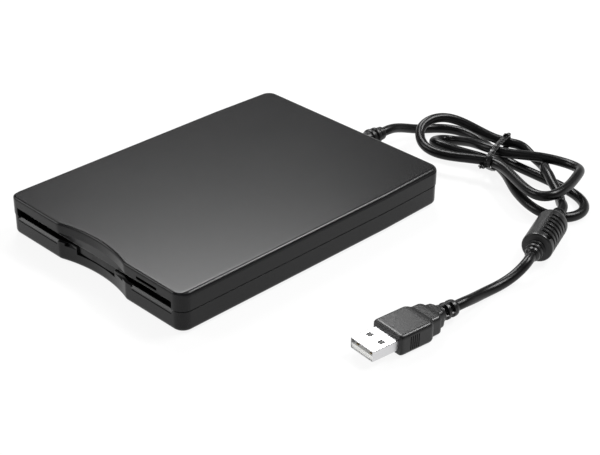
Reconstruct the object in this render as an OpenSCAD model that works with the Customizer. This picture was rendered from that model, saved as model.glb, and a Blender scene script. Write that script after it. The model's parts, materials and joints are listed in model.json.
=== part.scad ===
/* [Case] */
// Length of the case beyond the disk's length
end_room = 48; // [47:1:60]
// Room from the disk's edge to the side of the case
side_room = 7.5; // [7:0.5:17]
// Height of the case above the slot
top_room = 4.2; // [4.2:0.1:11]
// Thickness of the side walls
wall_t = 1.6; // [1.4:0.1:1.8]
// Thickness of the roof
roof_t = 1.5; // [1:0.1:1.6]
// Thickness of the floor
floor_t = 1.5; // [1.3:0.1:1.7]
// Radius of the upright corners
corner_r = 5; // [4:0.5:8]
// Rounding of the top edges
edge_r = 2; // [0.8:0.2:2.4]
// Rounding of the bottom edges
base_edge_r = 1.7; // [0.8:0.1:1.8]
// Height of the joint line between the covers
parting_z = 9.1; // [9:0.1:9.6]
// Length of the tapered stretch at the back
taper_l = 33; // [20:1:45]
// How far each side leans in over that stretch
taper_d = 0.9; // [0:0.1:1]
// How far the bottom cover stands in from the top cover
lower_inset = 0.25; // [0.1:0.05:0.4]
// Height of the locating lip on the bottom cover
lip_h = 0.8; // [0.4:0.1:1.2]
// Thickness of the locating lip
lip_t = 0.7; // [0.5:0.1:0.8]
// How far the rubber feet stand proud
foot_proud = 0.4; // [0.3:0.1:0.6]
// Radius of a rubber foot
foot_r = 4.5; // [3:0.5:5]

/* [Front] */
// Room beside the disk in the slot
slot_gap = 2; // [1.6:0.1:2.4]
// Height of the disk slot
slot_h = 4.2; // [4.1:0.1:4.4]
// Height of the slot's lower edge
slot_z = 8.6; // [8.5:0.05:8.8]
// Width of the finger recess
recess_w = 40.5; // [36:0.5:44]
// Depth of the finger recess
recess_d = 3.3; // [2.6:0.1:3.6]
// Radius where the recess meets the front
recess_fillet = 5; // [4:0.5:8]
// Width of the eject button
button_w = 12.4; // [9:0.1:13]
// Height of the eject button
button_h = 1.95; // [1.6:0.05:2.05]
// Distance of the button's middle from the slot's end
button_inset = 13.8; // [13:0.1:15]
// Width of the indicator window
window_w = 4.6; // [3.4:0.1:6]
// Height of the indicator window
window_h = 1; // [0.8:0.1:1.2]
// Distance of the window's middle from the case's middle
window_x = 28.4; // [27:0.1:32]
// Thickness of the dust door
door_t = 0.9; // [0.7:0.1:1]

/* [Disk] */
// Width of the disk that goes in
disk_w = 90; // [89:0.5:90]
// Length of the disk
disk_l = 94; // [93:0.5:94]
// Clearance beside the disk in its carrier
disk_gap = 0.3; // [0.2:0.05:0.4]
// How far the carrier drops when it loads
load_drop = 2; // [1.6:0.1:2]

/* [Mechanism] */
// Thickness of the carrier's sheet
carrier_t = 0.45; // [0.4:0.05:0.5]
// Thickness of the slide's side flanges
flange_t = 0.5; // [0.4:0.05:0.5]
// Thickness of the chassis deck
deck_t = 0.8; // [0.6:0.1:0.8]
// Thickness of the circuit boards
board_t = 0.8; // [0.6:0.1:1]
// Travel of the eject slide
slide_travel = 4.5; // [3.5:0.1:4.6]
// Radius of the lift pins
pin_r = 0.8; // [0.6:0.05:0.9]
// Radius of the spindle rotor
rotor_r = 21.4; // [18:0.2:21.6]
// Radius of the spindle shaft
shaft_r = 1.5; // [1.2:0.1:2]
// Radius of the hub plate
hub_r = 11; // [9:0.5:12]
// Radius of the guide rods
rod_r = 1.25; // [1:0.05:1.4]
// Distance between the guide rods
rod_pitch = 24; // [22:0.5:24.5]
// Radius of the lead screw over its thread
screw_r = 1.2; // [1:0.05:1.3]
// Pitch of the lead screw
screw_pitch = 3; // [2:0.5:4]
// Radius of the stepper motor's can
stepper_r = 5.2; // [4.6:0.1:5.2]
// Travel of the head carriage
head_travel = 14.8; // [12:0.1:15]

/* [Cord] */
// Diameter of the cord
cord_d = 4.2; // [3.6:0.1:4.3]
// Length of the strain relief outside the case
relief_l = 17; // [14:1:17]
// Radius of the strain relief's free end
relief_r = 2.9; // [2.6:0.1:3.2]
// Diameter of the ferrite bead
bead_d = 12.6; // [11.6:0.2:12.8]
// Length of the ferrite bead
bead_l = 22; // [20:1:23]
// Width of the plug's moulded grip
grip_w = 15.6; // [14:0.2:17]
// Thickness of the plug's moulded grip
grip_h = 8.5; // [7:0.1:8.5]
// Length of the plug's moulded grip
grip_l = 16.5; // [14:0.5:20]

/* [Hidden] */
$fn = 48;

// Colours of the finishes
dark_plastic = "#3b3c3e";
black_plastic = "#26272a";
steel = "#b9bcc0";
board_green = "#2f5a3c";
black_cord = "#1c1d1f";

// Small working clearances
eps = 0.01;
fit_gap = 0.02;
run_gap = 0.05;
side_gap = 0.25;
rest_gap = 0.3;

// Case: faces, seats and the arcs of the finger recess
case_l = disk_l + end_room;
case_w = disk_w + 2 * side_room;
case_h = slot_z + slot_h + top_room;
slot_w = disk_w + 2 * slot_gap;
button_x = slot_w / 2 - button_inset;
front_y = -case_l / 2;
back_y = case_l / 2;
roof_z = case_h - roof_t;
floor_z = foot_proud + floor_t;
back_in = back_y - wall_t;
recess_arc = (recess_w * recess_w / 4 + recess_d * recess_d) / (2 * recess_d);
recess_cy = front_y + recess_d - recess_arc;
fillet_rise = recess_arc - recess_d + recess_fillet;
fillet_x = sqrt(pow(recess_arc + recess_fillet, 2) - fillet_rise * fillet_rise);
fillet_a = atan2(fillet_rise, fillet_x);
slot_top = slot_z + slot_h;
window_z = slot_top + 1.7;
notch_top = slot_top + 0.25 + button_h + 0.2;

// Dust door: it hangs behind the deepest point of the recess
door_face = front_y + recess_d + 0.2;
door_y = door_face + door_t - 0.1;
door_z = slot_top + 0.4;
door_drop = door_z - slot_z - 0.35;
door_half = slot_w / 2 - 1.2;
door_barrel_r = 0.6;
door_pin_r = 0.4;
door_pin_end = slot_w / 2 + 1;
ear_t = 1.4;
ear_x = slot_w / 2 + 0.05;
coil_space = 2.4;

// Mechanism: where the disk lies and what is counted from it
mech_front = door_y + door_drop + rest_gap;
disk_front = mech_front - 1.2;
disk_back = disk_front + disk_l;
mech_back = disk_back + 29.9;
hub_y = disk_back - 46;
head_y = hub_y + 39.5;

// Widths, from the disk outwards
carrier_in = disk_w / 2 + disk_gap;
carrier_out = carrier_in + carrier_t;
flange_in = carrier_out + side_gap;
flange_out = flange_in + flange_t;
chassis_in = flange_out + 0.2;
chassis_out = chassis_in + 0.5;

// Heights, from the floor upwards
board_z = floor_z + 0.4;
board_top = board_z + board_t;
deck_z = floor_z + 2.4;
deck_top = deck_z + deck_t;
slide_z = deck_top + 0.2;
slide_t = 0.6;
carrier_lip_z = slot_z + 0.1;
carrier_roof_z = slot_top + 0.15;
carrier_top = carrier_roof_z + carrier_t;
pin_z = carrier_top - 2.2;
slide_top = slot_top + 1;
wall_top = slot_top + 0.8;
rod_z = deck_top + 3.3;

// Circuit boards: under the motor and at the back
motor_half = 27;
motor_front = 30;
main_half = disk_w / 2 - 1;
main_l = 36;
main_y = hub_y + 28.4;
usb_half = disk_w / 2 - 7;
usb_l = 5.7;
usb_y = mech_back + 1;
usb_z = floor_z + 2.1;

// Screws through the case and the chassis
screw_shank = 0.8;
screw_head_r = 1.35;
screw_head_h = 1;
post_r = 1.6;
rear_post_x = case_w / 2 - 8.5;
front_post_x = chassis_out + post_r + 0.1;
case_posts = [[rear_post_x, back_in - 4.4], [-rear_post_x, back_in - 4.4],
    [front_post_x, mech_front + 2.2], [-front_post_x, mech_front + 2.2]];
chassis_front_x = disk_w / 2 - 13;
chassis_back_x = disk_w / 2 - 7;
chassis_posts = [[chassis_front_x, mech_front + 16], [-chassis_front_x, mech_front + 16],
    [chassis_back_x, mech_back - 4.5], [-chassis_back_x, mech_back - 4.5]];
chassis_post_r = 3;
foot_back_x = case_w / 2 - 9.5;
foot_front_x = case_w / 2 - 10.5;
foot_spots = [[foot_back_x, back_y - 13.5], [-foot_back_x, back_y - 13.5],
    [foot_front_x, front_y + 12], [-foot_front_x, front_y + 12]];

// Eject slide, carrier and their cam slots
strip_x = disk_w / 2 - 4;
slide_front = mech_front + 2.2;
bridge_l = 4;
pin_spots = [mech_front + 12, disk_back - 12];
cam_r = pin_r + 0.12;
carrier_lip_x = disk_w / 2 - 4.5;
arm_gap_x = 9.5;
spring_x = 25;
spring_wire = 0.3;
spring_r = 0.65;
spring_z = deck_top + 1.1;
spring_post_y = hub_y - 13.4;
button_stem_z = door_z + door_barrel_r + rest_gap;
button_top = roof_z - 0.5;
button_reach = slide_front + 6;

// Shutter lever on the carrier's roof
lever_pivot = [7 - disk_w / 2, disk_back - 4.65];
lever_len = 22;
lever_a = -35;
lever_swing = 49.5;
lever_t = 0.6;
lever_pin_r = 1;
stud_r = 1.2;
stud_head = roof_z - 0.15;

// Head carriage, its rods and the lead screw
block_y = head_y + 23.1;
block_l = 10.4;
block_half = 14.4;
block_top = rod_z + 2.1;
rod_tab_y = disk_back + 0.6;
rod_tab_back = mech_back - 0.9;
base_z = deck_top + rest_gap;
base_t = 1.4;
arm_y = block_y + 3.8;
arm_z = rod_z + 4.2;
arm_len = arm_y - head_y + 2.2;
arm_t = 0.6;
arm_lift = asin((roof_z - 0.5 - arm_z) / arm_len);
cheek_x = 3.6;
cheek_t = 1.4;
arm_pin_r = 0.5;
stepper_x = -rod_pitch / 2 - 8.5;
stepper_y = block_y + 3.5;
stepper_l = 8.6;
journal_r = 0.8;
thread_d = 0.15;
nut_y = block_y + 0.6;
nut_l = 1.6;

// Spindle
bearing_r = 3.5;
bearing_z = board_top;
rotor_z = deck_top + 0.6;
rotor_t = 0.8;
rotor_skirt_z = board_top + 0.5;
hub_t = 0.7;
hub_z = rotor_z + rotor_t;
drive_pin_r = 1;
drive_pin_at = 7.5;
coil_count = 12;
coil_ring_r = 13;

// Sensing switches beside the carrier's lips
switch_x = disk_w / 2 - 8.4;
switch_spots = [[switch_x, mech_front + 12.2], [-switch_x, mech_front + 12.2],
    [-switch_x, mech_front + 24]];
switch_top = deck_top + 1.8;
plunger_r = 0.6;
plunger_top = slot_z - 0.2;
plunger_travel = 1;

// Strain relief and cord exit
relief_x = 2.5;
relief_z = parting_z - 0.3;
relief_neck = 3.5;
cord_r = cord_d / 2;
relief_end = back_y + relief_l;

// Cord from the relief to the hank: it droops to the table and runs to the tie
lead_end = relief_end + cord_d;
lead_route = [[relief_x, relief_end, relief_z], [relief_x, lead_end, relief_z],
    [2.2, 98, 7.6], [2.6, 104, 5.6], [3.9, 110, 3.6], [6, 116, 2.5], [9.6, 121, 2.1],
    [15, 124, 2.1], [23, 125, 2.1], [31, 123.5, 2.3]];

// Hank: four loops drawn in at the tie. Each row gives a loop's lean, reach, outgoing belly,
// returning belly, roundness, lift at its tip and tilt; the passes are where it meets the tie.
hank_tie = [48, 112.8];
hank_loops = [[-16, 53.6, 11, 9.6, 0.97, -1.3, -0.8], [3.9, 31.4, 5.3, 4.4, 0.61, -2.8, 7],
    [20.9, 38.1, 6.2, 25.8, 0.76, 1.1, -3.5], [20.2, 35.8, 5.8, 7.4, 1.4, 4, -6.6]];
hank_passes = [[3.7, 3.2], [-4, 4.1], [-1.7, 8.9], [-11.6, 8.3], [11.3, 7.2]];
loop_rings = 24;
waist_soft = 0.35;
waist_turn = 31.5;
hank_sides = 6;
tie_half = 1.3;
tie_lean = (hank_loops[2][0] + hank_loops[3][0]) / 2;
tie_span = 20;

// Cord from the hank to the ferrite bead: it leaves beside the tie, dips under the next loop
// and rises into the bead
bead_at = [98.9, 89.1, 7.2];
bead_dir = unit([0.335, -0.942, -0.03]);
link_route = [[55.3, 125.9, 4.9], [59.2, 126.1, 3.2], [63.1, 125.2, 2.4], [66.3, 123, 2.4],
    [68.6, 120.3, 4], [69.7, 117.7, 6.9], [72.4, 114.4, 7.8], [76.4, 111.5, 7.9],
    [80.6, 108.4, 7.2], [85, 105.6, 6.4], [89, 102.5, 5.7], [92.3, 99.1, 5.5],
    [95, 96.2, 6.9], bead_at - cord_d * bead_dir, bead_at];

// Ferrite bead, and the cord from it to the plug
bead_neck = 7;
bead_collar = 6.5;
groove_count = 6;
groove_pitch = 2.6;
groove_start = 4.7;
dimple_place = 19.7;
dimple_turn = 233;
bead_out = bead_at + (bead_neck + bead_l + bead_collar) * bead_dir;
plug_at = [106.9, -34.8];
plug_turn = -6;
plug_dir = [-sin(plug_turn), cos(plug_turn), 0];
shell_w = 12;
shell_h = 4.5;
shell_t = 0.3;
shell_free = 11.8;
shell_z = grip_h / 2 - shell_h / 2;
grip_neck = 7.5;
plug_relief = 9.5;
plug_end = [plug_at.x, plug_at.y, grip_h / 2]
    + (shell_free + grip_l + grip_neck + plug_relief) * plug_dir;
tail_route = [bead_out, bead_out + cord_d * bead_dir, [112.5, 46.3, 4.2], [112.2, 40.6, 2.8],
    [111.6, 34.4, 2.1], [111.2, 27, 2.3], [111.8, 19.5, 3.4], plug_end + cord_d * plug_dir,
    plug_end];

function ease(t) = let(c = min(1, max(0, t))) c * c * (3 - 2 * c);
function unit(v) = v / norm(v);
function arc(c, r, a0, a1, n = 6) =
    [for (i = [0:n]) let(a = a0 + (a1 - a0) * i / n) c + r * [cos(a), sin(a)]];

// Outline of the case seen from above, drawn in by d all round
function outline(d = 0) = concat(
    arc([-case_w / 2 + corner_r, front_y + corner_r], corner_r - d, 180, 270),
    arc([-fillet_x, front_y + recess_fillet], recess_fillet - d, 270, 360 - fillet_a, 3),
    [for (i = [1:13]) let(a = 180 - fillet_a + (2 * fillet_a - 180) * i / 14)
        [0, recess_cy] + (recess_arc + d) * [cos(a), sin(a)]],
    arc([fillet_x, front_y + recess_fillet], recess_fillet - d, 180 + fillet_a, 270, 3),
    arc([case_w / 2 - corner_r, front_y + corner_r], corner_r - d, 270, 360),
    [[case_w / 2 - d, back_y - taper_l]],
    arc([case_w / 2 - taper_d - corner_r, back_y - corner_r], corner_r - d, 0, 90),
    arc([-case_w / 2 + taper_d + corner_r, back_y - corner_r], corner_r - d, 90, 180),
    [[-case_w / 2 + d, back_y - taper_l]]);

// Solid through outlines stacked at [inset, height]
module loft(rings) {
    n = len(outline());
    last = len(rings) - 1;
    points = [for (r = rings) for (p = outline(r[0])) [p.x, p.y, r[1]]];
    sides = [for (k = [0:last - 1]) for (i = [0:n - 1]) let(j = (i + 1) % n, a = k * n, b = a + n)
        each [[a + i, b + i, b + j], [a + i, b + j, a + j]]];
    polyhedron(points, concat([[for (i = [0:n - 1]) i]], sides,
        [[for (i = [n - 1:-1:0]) last * n + i]]));
}

// Faces of a closed tube of m rings with n points each
function tube_faces(m, n) = concat([[for (i = [n - 1:-1:0]) i]],
    [for (k = [0:m - 2]) for (i = [0:n - 1]) let(j = (i + 1) % n, a = k * n, b = a + n)
        each [[a + i, a + j, b + j], [a + i, b + j, b + i]]],
    [[for (i = [0:n - 1]) (m - 1) * n + i]]);

// Round tube along a path that never runs straight up
module tube(path, d, n = 8) {
    last = len(path) - 1;
    points = [for (k = [0:last]) let(
        t = unit(path[min(k + 1, last)] - path[max(k - 1, 0)]),
        s = unit(cross(t, [0, 0, 1])), u = cross(s, t))
        for (i = [0:n - 1]) path[k] + d / 2 * (cos(360 * i / n) * s + sin(360 * i / n) * u)];
    polyhedron(points, tube_faces(last + 1, n));
}

// Coil of wire along +Y, with 8 rings a turn
module coil(r, wire, turns, length) {
    m = 8 * turns;
    points = [for (k = [0:m]) let(a = 45 * k, e = [cos(a), 0, sin(a)])
        for (i = [0:5]) [0, length * k / m, 0] + r * e
            + wire / 2 * (cos(60 * i) * e - [0, sin(60 * i), 0])];
    polyhedron(points, tube_faces(m + 1, 6));
}

module rounded_rect(w, h, r) {
    square([w - 2 * r, h], center = true);
    square([w, h - 2 * r], center = true);
    for (x = [-1, 1], y = [-1, 1]) translate([x * (w / 2 - r), y * (h / 2 - r)]) circle(r);
}

// Block with rounded corners, from its lowest corner's height up
module rounded_plate(w, l, h, r) {
    linear_extrude(h) rounded_rect(w, l, r);
}

// Bar or bore along +X, from x0
module rod_x(x0, length, y, z, r) {
    translate([x0, y, z]) rotate([0, 90, 0]) cylinder(r = r, h = length);
}

// Bar or bore along +Y, from y0
module rod_y(y0, length, x, z, r) {
    translate([x, y0, z]) rotate([-90, 0, 0]) cylinder(r = r, h = length);
}

// Slot with round ends cut along X, between two places [y, z]
module slot_x(x0, length, a, b, r) {
    rod_x(x0, length, a.x, a.y, r);
    rod_x(x0, length, b.x, b.y, r);
    translate([x0, a.x, a.y]) rotate([atan2(b.y - a.y, b.x - a.x), 0, 0])
        translate([0, 0, -r]) cube([length, norm(b - a), 2 * r]);
}

module both_sides() {
    children();
    mirror([1, 0, 0]) children();
}

// Steps of a quarter round: [inset, rise] from the flat face to the side
function edge_steps(r) = [for (i = [0:5]) [r * (1 - sin(18 * i)), r * (1 - cos(18 * i))]];

module top_cover() {
    steps = edge_steps(edge_r);
    color(dark_plastic) difference() {
        union() {
            difference() {
                intersection() {
                    loft(concat([[0, parting_z - 1]],
                        [for (i = [5:-1:0]) [steps[i][0], case_h - steps[i][1]]]));
                    translate([-case_w, -case_l, parting_z])
                        cube([2 * case_w, 2 * case_l, case_h]);
                }
                translate([0, 0, parting_z - 1])
                    linear_extrude(roof_z - parting_z + 1) polygon(outline(wall_t));
                translate([0, 0, parting_z - 1])
                    linear_extrude(lip_h + 1.1) polygon(outline(wall_t - lip_t - 0.1));
            }
            for (p = case_posts) translate([p.x, p.y, parting_z])
                cylinder(r = post_r, h = roof_z - parting_z + eps);
            both_sides() translate([ear_x, door_y - 1.5, door_z - 0.9])
                cube([ear_t, 3, roof_z - door_z + 0.9 + eps]);
        }
        front_cuts(parting_z - 1, slot_top);
        button_notch();
        translate([-window_x - window_w / 2, front_y - 1, window_z - window_h / 2])
            cube([window_w, recess_d + wall_t + 1, window_h]);
        // room behind the recess for the door's upper edge
        translate([-fillet_x - 3, door_y - 0.2, slot_top - eps])
            cube([2 * fillet_x + 6, wall_t + 1, 1.4]);
        rod_y(back_in - 1, wall_t + 2, relief_x, relief_z, relief_neck + run_gap);
        for (p = case_posts) translate([p.x, p.y, parting_z - eps])
            cylinder(r = screw_shank + fit_gap, h = roof_z - parting_z - 0.8);
        both_sides() rod_x(ear_x - eps, ear_t + 1, door_y, door_z, door_pin_r + run_gap);
    }
}

// Opening for the disk through the front walls, between two heights
module front_cuts(z0, z1) {
    translate([-slot_w / 2, front_y - 1, z0])
        cube([slot_w, recess_d + wall_t + 1.6, z1 - z0]);
}

// Notch above the slot for the eject button
module button_notch() {
    translate([button_x - button_w / 2 - 0.2, front_y - 1, slot_top - eps])
        cube([button_w + 0.4, recess_d + wall_t + 1, notch_top - slot_top]);
}

module bottom_cover() {
    steps = edge_steps(base_edge_r);
    color(dark_plastic) difference() {
        union() {
            difference() {
                intersection() {
                    loft(concat([for (i = [0:5])
                        [lower_inset + steps[i][0], foot_proud + steps[i][1]]],
                        [[lower_inset, parting_z + 1]]));
                    translate([-case_w, -case_l, 0]) cube([2 * case_w, 2 * case_l, parting_z]);
                }
                translate([0, 0, floor_z]) linear_extrude(parting_z) polygon(outline(wall_t));
            }
            difference() {
                translate([0, 0, parting_z - 0.6]) linear_extrude(lip_h + 0.6) difference() {
                    polygon(outline(wall_t - lip_t));
                    polygon(outline(wall_t));
                }
                translate([-slot_w / 2 - 1.2, front_y - 1, parting_z - 1])
                    cube([slot_w + 2.4, recess_d + wall_t + 2, lip_h + 2]);
                rod_y(back_in - 1, wall_t + 2, relief_x, relief_z, relief_neck + 0.6);
            }
            for (p = case_posts) translate([p.x, p.y, floor_z - eps])
                cylinder(r = post_r, h = parting_z - floor_z);
            for (p = chassis_posts) translate([p.x, p.y, floor_z - eps])
                cylinder(r = chassis_post_r, h = deck_z - floor_z + eps);
            board_pads();
        }
        front_cuts(slot_z, parting_z + 1);
        rod_y(back_in - 1, wall_t + 2, relief_x, relief_z, relief_neck + run_gap);
        for (p = case_posts) translate([p.x, p.y, 0]) {
            cylinder(r = screw_head_r + 0.1, h = foot_proud + 0.1 + screw_head_h + 0.05);
            cylinder(r = screw_shank + 0.1, h = parting_z + 1);
        }
        for (p = chassis_posts) translate([p.x, p.y, floor_z])
            cylinder(r = screw_shank + fit_gap, h = deck_z);
        for (p = foot_spots) translate([p.x, p.y, -eps])
            cylinder(r = foot_r + 0.05, h = 1 + eps);
    }
}

// Low pads that carry the circuit boards
module board_pads() {
    for (x = [-23, 23], y = [-26, 20]) translate([x, hub_y + y, floor_z - eps])
        cylinder(r = 2, h = board_z - floor_z + eps);
    for (x = [4 - main_half, main_half - 4], y = [3, 28]) translate([x, main_y + y, floor_z - eps])
        cylinder(r = 2, h = board_z - floor_z + eps);
    for (x = [5 - usb_half, usb_half - 5]) translate([x - 3, usb_y + 0.3, floor_z - eps])
        cube([6, usb_l - 0.6, usb_z - floor_z + eps]);
}

module rubber_feet() {
    color(black_plastic) for (p = foot_spots) translate([p.x, p.y, 0]) {
        cylinder(r1 = foot_r - 0.3, r2 = foot_r, h = 0.3);
        translate([0, 0, 0.3]) cylinder(r = foot_r, h = 0.7);
    }
}

module case_screws() {
    color(steel) for (p = case_posts) translate([p.x, p.y, foot_proud + 0.1]) difference() {
        union() {
            cylinder(r = screw_head_r, h = screw_head_h);
            cylinder(r = screw_shank, h = roof_z - foot_proud - 2.6);
        }
        for (a = [0, 90]) rotate(a) translate([-1, -0.2, -eps]) cube([2, 0.4, 0.5]);
    }
}

module light_pipe() {
    color("#c9ccd0") translate([-window_x - window_w / 2 + 0.05, front_y + 0.1,
        window_z - window_h / 2 + 0.05]) cube([window_w - 0.1, wall_t + 0.5, window_h - 0.1]);
}

module indicator_led() {
    color("#9fb7a0") translate([-window_x - 1.6, front_y + wall_t + 0.6, window_z - 0.5])
        cube([3.2, 1.5, roof_z - window_z + 0.5]);
}

// Dust door: a flat flap that hangs from pins at its upper edge and swings inwards
module dust_door() {
    plate_top = slot_top - 0.15;
    bottom = door_z - door_drop;
    color("#333437") difference() {
        union() {
            translate([-door_half, door_face, bottom])
                cube([2 * door_half, door_t, plate_top - bottom]);
            both_sides() {
                rod_x(fillet_x + 3, door_half - coil_space - fillet_x - 3, door_y, door_z,
                    door_barrel_r);
                translate([fillet_x + 3, door_face, plate_top - eps])
                    cube([door_half - coil_space - fillet_x - 3, door_t - 0.1,
                        door_z - plate_top]);
                rod_x(door_half - coil_space - eps, door_pin_end - door_half + coil_space,
                    door_y, door_z, door_pin_r);
            }
        }
        both_sides() translate([door_half - coil_space, door_face - 1, slot_top - 0.6])
            cube([coil_space + 1, 3, 0.5]);
        translate([-door_half - 1, door_face - 0.2, bottom - 0.2]) rotate([45, 0, 0])
            cube([2 * door_half + 2, 0.4, 0.4]);
    }
}

module door_spring() {
    color(steel) translate([door_half - coil_space + 0.25, door_y, door_z]) rotate([0, 0, -90])
        coil(0.6, 0.22, 6, coil_space + 0.4);
}

module eject_button() {
    z0 = slot_top + 0.25;
    color("#2e2f32") {
        translate([button_x, front_y, z0 + button_h / 2]) rotate([-90, 0, 0])
            linear_extrude(door_face - front_y - 0.5) rounded_rect(button_w, button_h, 0.4);
        translate([button_x - button_w / 2 + 1.4, door_face - 1, button_stem_z])
            cube([button_w - 2.8, button_reach - door_face + 1, button_top - button_stem_z]);
        translate([button_x, button_reach - 4, button_stem_z])
            cube([flange_out - button_x, 4, button_top - button_stem_z]);
    }
}

module slide_plate() {
    top = button_stem_z - slide_z;
    color(steel) difference() {
        union() {
            both_sides() {
                translate([strip_x, slide_front, slide_z])
                    cube([flange_out - strip_x, pin_spots[1] + 8 - slide_front, slide_t]);
                translate([flange_in, slide_front, slide_z])
                    cube([flange_t, pin_spots[1] + 8 - slide_front, slide_top - slide_z]);
                translate([spring_x, slide_front + bridge_l - 0.6, slide_z])
                    cylinder(r = 0.6, h = spring_z - slide_z + spring_r);
            }
            translate([-strip_x - 1, slide_front, slide_z])
                cube([2 * strip_x + 2, bridge_l, slide_t]);
            translate([flange_in, button_reach - 4, slide_z]) cube([flange_t, 4, top]);
            translate([flange_out - 4, button_reach - 4, slide_z + top - 0.3])
                cube([4, 4, 0.3]);
        }
        for (y = pin_spots) both_sides() slot_x(flange_in - 1, flange_t + 2, [y, pin_z],
            [y + slide_travel, pin_z - load_drop], cam_r);
    }
}

module eject_springs() {
    y0 = slide_front + bridge_l + 0.3;
    length = spring_post_y - 0.9 - y0;
    color(steel) for (x = [-spring_x, spring_x]) translate([x, y0, spring_z])
        coil(spring_r, spring_wire, 14, length);
}

module disk_carrier() {
    length = disk_back - mech_front;
    color(steel) difference() {
        union() {
            translate([-carrier_out, mech_front, carrier_roof_z])
                cube([2 * carrier_out, length, carrier_t]);
            both_sides() {
                translate([carrier_in, mech_front, carrier_lip_z - carrier_t])
                    cube([carrier_t, length, carrier_top - carrier_lip_z + carrier_t]);
                translate([carrier_lip_x, mech_front, carrier_lip_z - carrier_t])
                    cube([carrier_out - carrier_lip_x, length, carrier_t]);
                translate([carrier_in - 13, disk_back - eps, carrier_lip_z + 0.4])
                    cube([10, carrier_t, carrier_top - carrier_lip_z - 0.4]);
            }
        }
        // gap for the upper arm, and a finger notch at the front edge
        translate([-arm_gap_x, hub_y + 18, carrier_roof_z - 1])
            cube([2 * arm_gap_x, disk_back - hub_y, carrier_t + 2]);
        translate([0, mech_front - 6, carrier_roof_z - 1]) cylinder(r = 14, h = carrier_t + 2);
        // arc that the shutter lever's pin travels through
        translate([lever_pivot.x, lever_pivot.y, carrier_roof_z - 1]) rotate(lever_a - 4)
            rotate_extrude(angle = lever_swing + 30)
                translate([lever_len - lever_pin_r - 0.4, 0])
                    square([2 * lever_pin_r + 0.8, carrier_t + 2]);
        translate([lever_pivot.x, lever_pivot.y, carrier_roof_z - 1])
            cylinder(r = stud_r - 0.4 + fit_gap, h = carrier_t + 2);
    }
}

module lift_pins() {
    color(steel) for (y = pin_spots) both_sides()
        rod_x(carrier_out, chassis_out - carrier_out - 0.1, y, pin_z, pin_r);
}

// Lever that the disk pushes back; its pin hangs through the carrier's roof
module shutter_lever() {
    color(steel) translate([lever_pivot.x, lever_pivot.y, carrier_top + 0.1]) rotate(lever_a) {
        difference() {
            union() {
                cylinder(r = 3, h = lever_t);
                translate([0, -1.6, 0]) cube([lever_len, 3.2, lever_t]);
                translate([lever_len, 0, 0]) cylinder(r = 2, h = lever_t);
            }
            translate([0, 0, -1]) cylinder(r = stud_r + run_gap, h = lever_t + 2);
        }
        translate([lever_len, 0, carrier_lip_z + 0.8 - carrier_top])
            cylinder(r = lever_pin_r, h = carrier_top - carrier_lip_z - 0.8 + eps);
    }
}

// Stud riveted in the carrier's roof, with a head that keeps the lever on
module lever_stud() {
    color(steel) translate([lever_pivot.x, lever_pivot.y, 0]) {
        translate([0, 0, carrier_roof_z]) cylinder(r = stud_r - 0.4, h = carrier_t);
        translate([0, 0, carrier_top]) cylinder(r = stud_r, h = stud_head - 0.2 - carrier_top);
        translate([0, 0, stud_head - 0.2]) cylinder(r = stud_r + 0.7, h = 0.2);
    }
}

// Torsion coil round the stud, above the lever
module lever_spring() {
    z0 = carrier_top + lever_t + 0.3;
    color(steel) translate([lever_pivot.x, lever_pivot.y, z0]) rotate([90, 0, 0])
        coil(stud_r + 0.3, 0.22, 2, stud_head - 0.4 - z0);
}

module drive_chassis() {
    color(steel) difference() {
        union() {
            translate([-chassis_out, mech_front, deck_z])
                cube([2 * chassis_out, mech_back - mech_front, deck_t]);
            both_sides() translate([chassis_in, mech_front, deck_z])
                cube([chassis_out - chassis_in, mech_back - mech_front, wall_top - deck_z]);
            for (x = [-rod_pitch / 2, rod_pitch / 2]) {
                translate([x - 2.6, rod_tab_y, deck_z]) cube([5.2, 0.8, block_top - deck_z - 0.2]);
                translate([x - 4, rod_tab_back, deck_z]) cube([8, 0.8, block_top - deck_z]);
            }
            translate([stepper_x - 1.6, rod_tab_y, deck_z]) cube([3.2, 0.8, rod_z + 1.8 - deck_z]);
            translate([stepper_x - 6, stepper_y - 1, deck_z]) cube([11.6, 0.5, 8.4]);
            for (x = [-spring_x, spring_x]) translate([x, spring_post_y, deck_top - eps])
                cylinder(r = 0.6, h = spring_z - deck_top + spring_r);
        }
        translate([0, hub_y, deck_z - 1]) cylinder(r = rotor_r + 1, h = deck_t + 2, $fn = 96);
        translate([stepper_x - stepper_r - 0.8, stepper_y - 0.5, deck_z - 1])
            cube([2 * stepper_r + 1.6, stepper_l + 1.6, deck_t + 2]);
        translate([-5, block_y + 0.4, deck_z - 1]) cube([10, 1.2, deck_t + 2]);
        for (x = [-rod_pitch / 2, rod_pitch / 2])
            rod_y(rod_tab_y - 1, mech_back - rod_tab_y + 2, x, rod_z, rod_r + fit_gap);
        rod_y(rod_tab_y - 1, 2.6, stepper_x, rod_z, journal_r + run_gap);
        rod_y(stepper_y - 2, 3, stepper_x, rod_z, screw_r + 0.3);
        for (p = chassis_posts) translate([p.x, p.y, deck_z - 1])
            cylinder(r = screw_shank + 0.1, h = deck_t + 2);
        for (y = pin_spots) both_sides() slot_x(chassis_in - 1, 3, [y, pin_z - load_drop],
            [y, pin_z], cam_r);
    }
}

module chassis_screws() {
    color(steel) for (p = chassis_posts) translate([p.x, p.y, 0]) difference() {
        union() {
            translate([0, 0, floor_z + 0.2]) cylinder(r = screw_shank, h = deck_top - floor_z);
            translate([0, 0, deck_top]) cylinder(r = screw_head_r, h = 0.8);
        }
        for (a = [0, 90]) rotate(a) translate([-1, -0.2, deck_top + 0.4]) cube([2, 0.4, 0.5]);
    }
}

module guide_rods() {
    color("#d5d7da") for (x = [-rod_pitch / 2, rod_pitch / 2])
        rod_y(rod_tab_y, rod_tab_back + 0.8 - rod_tab_y, x, rod_z, rod_r);
}

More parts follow.
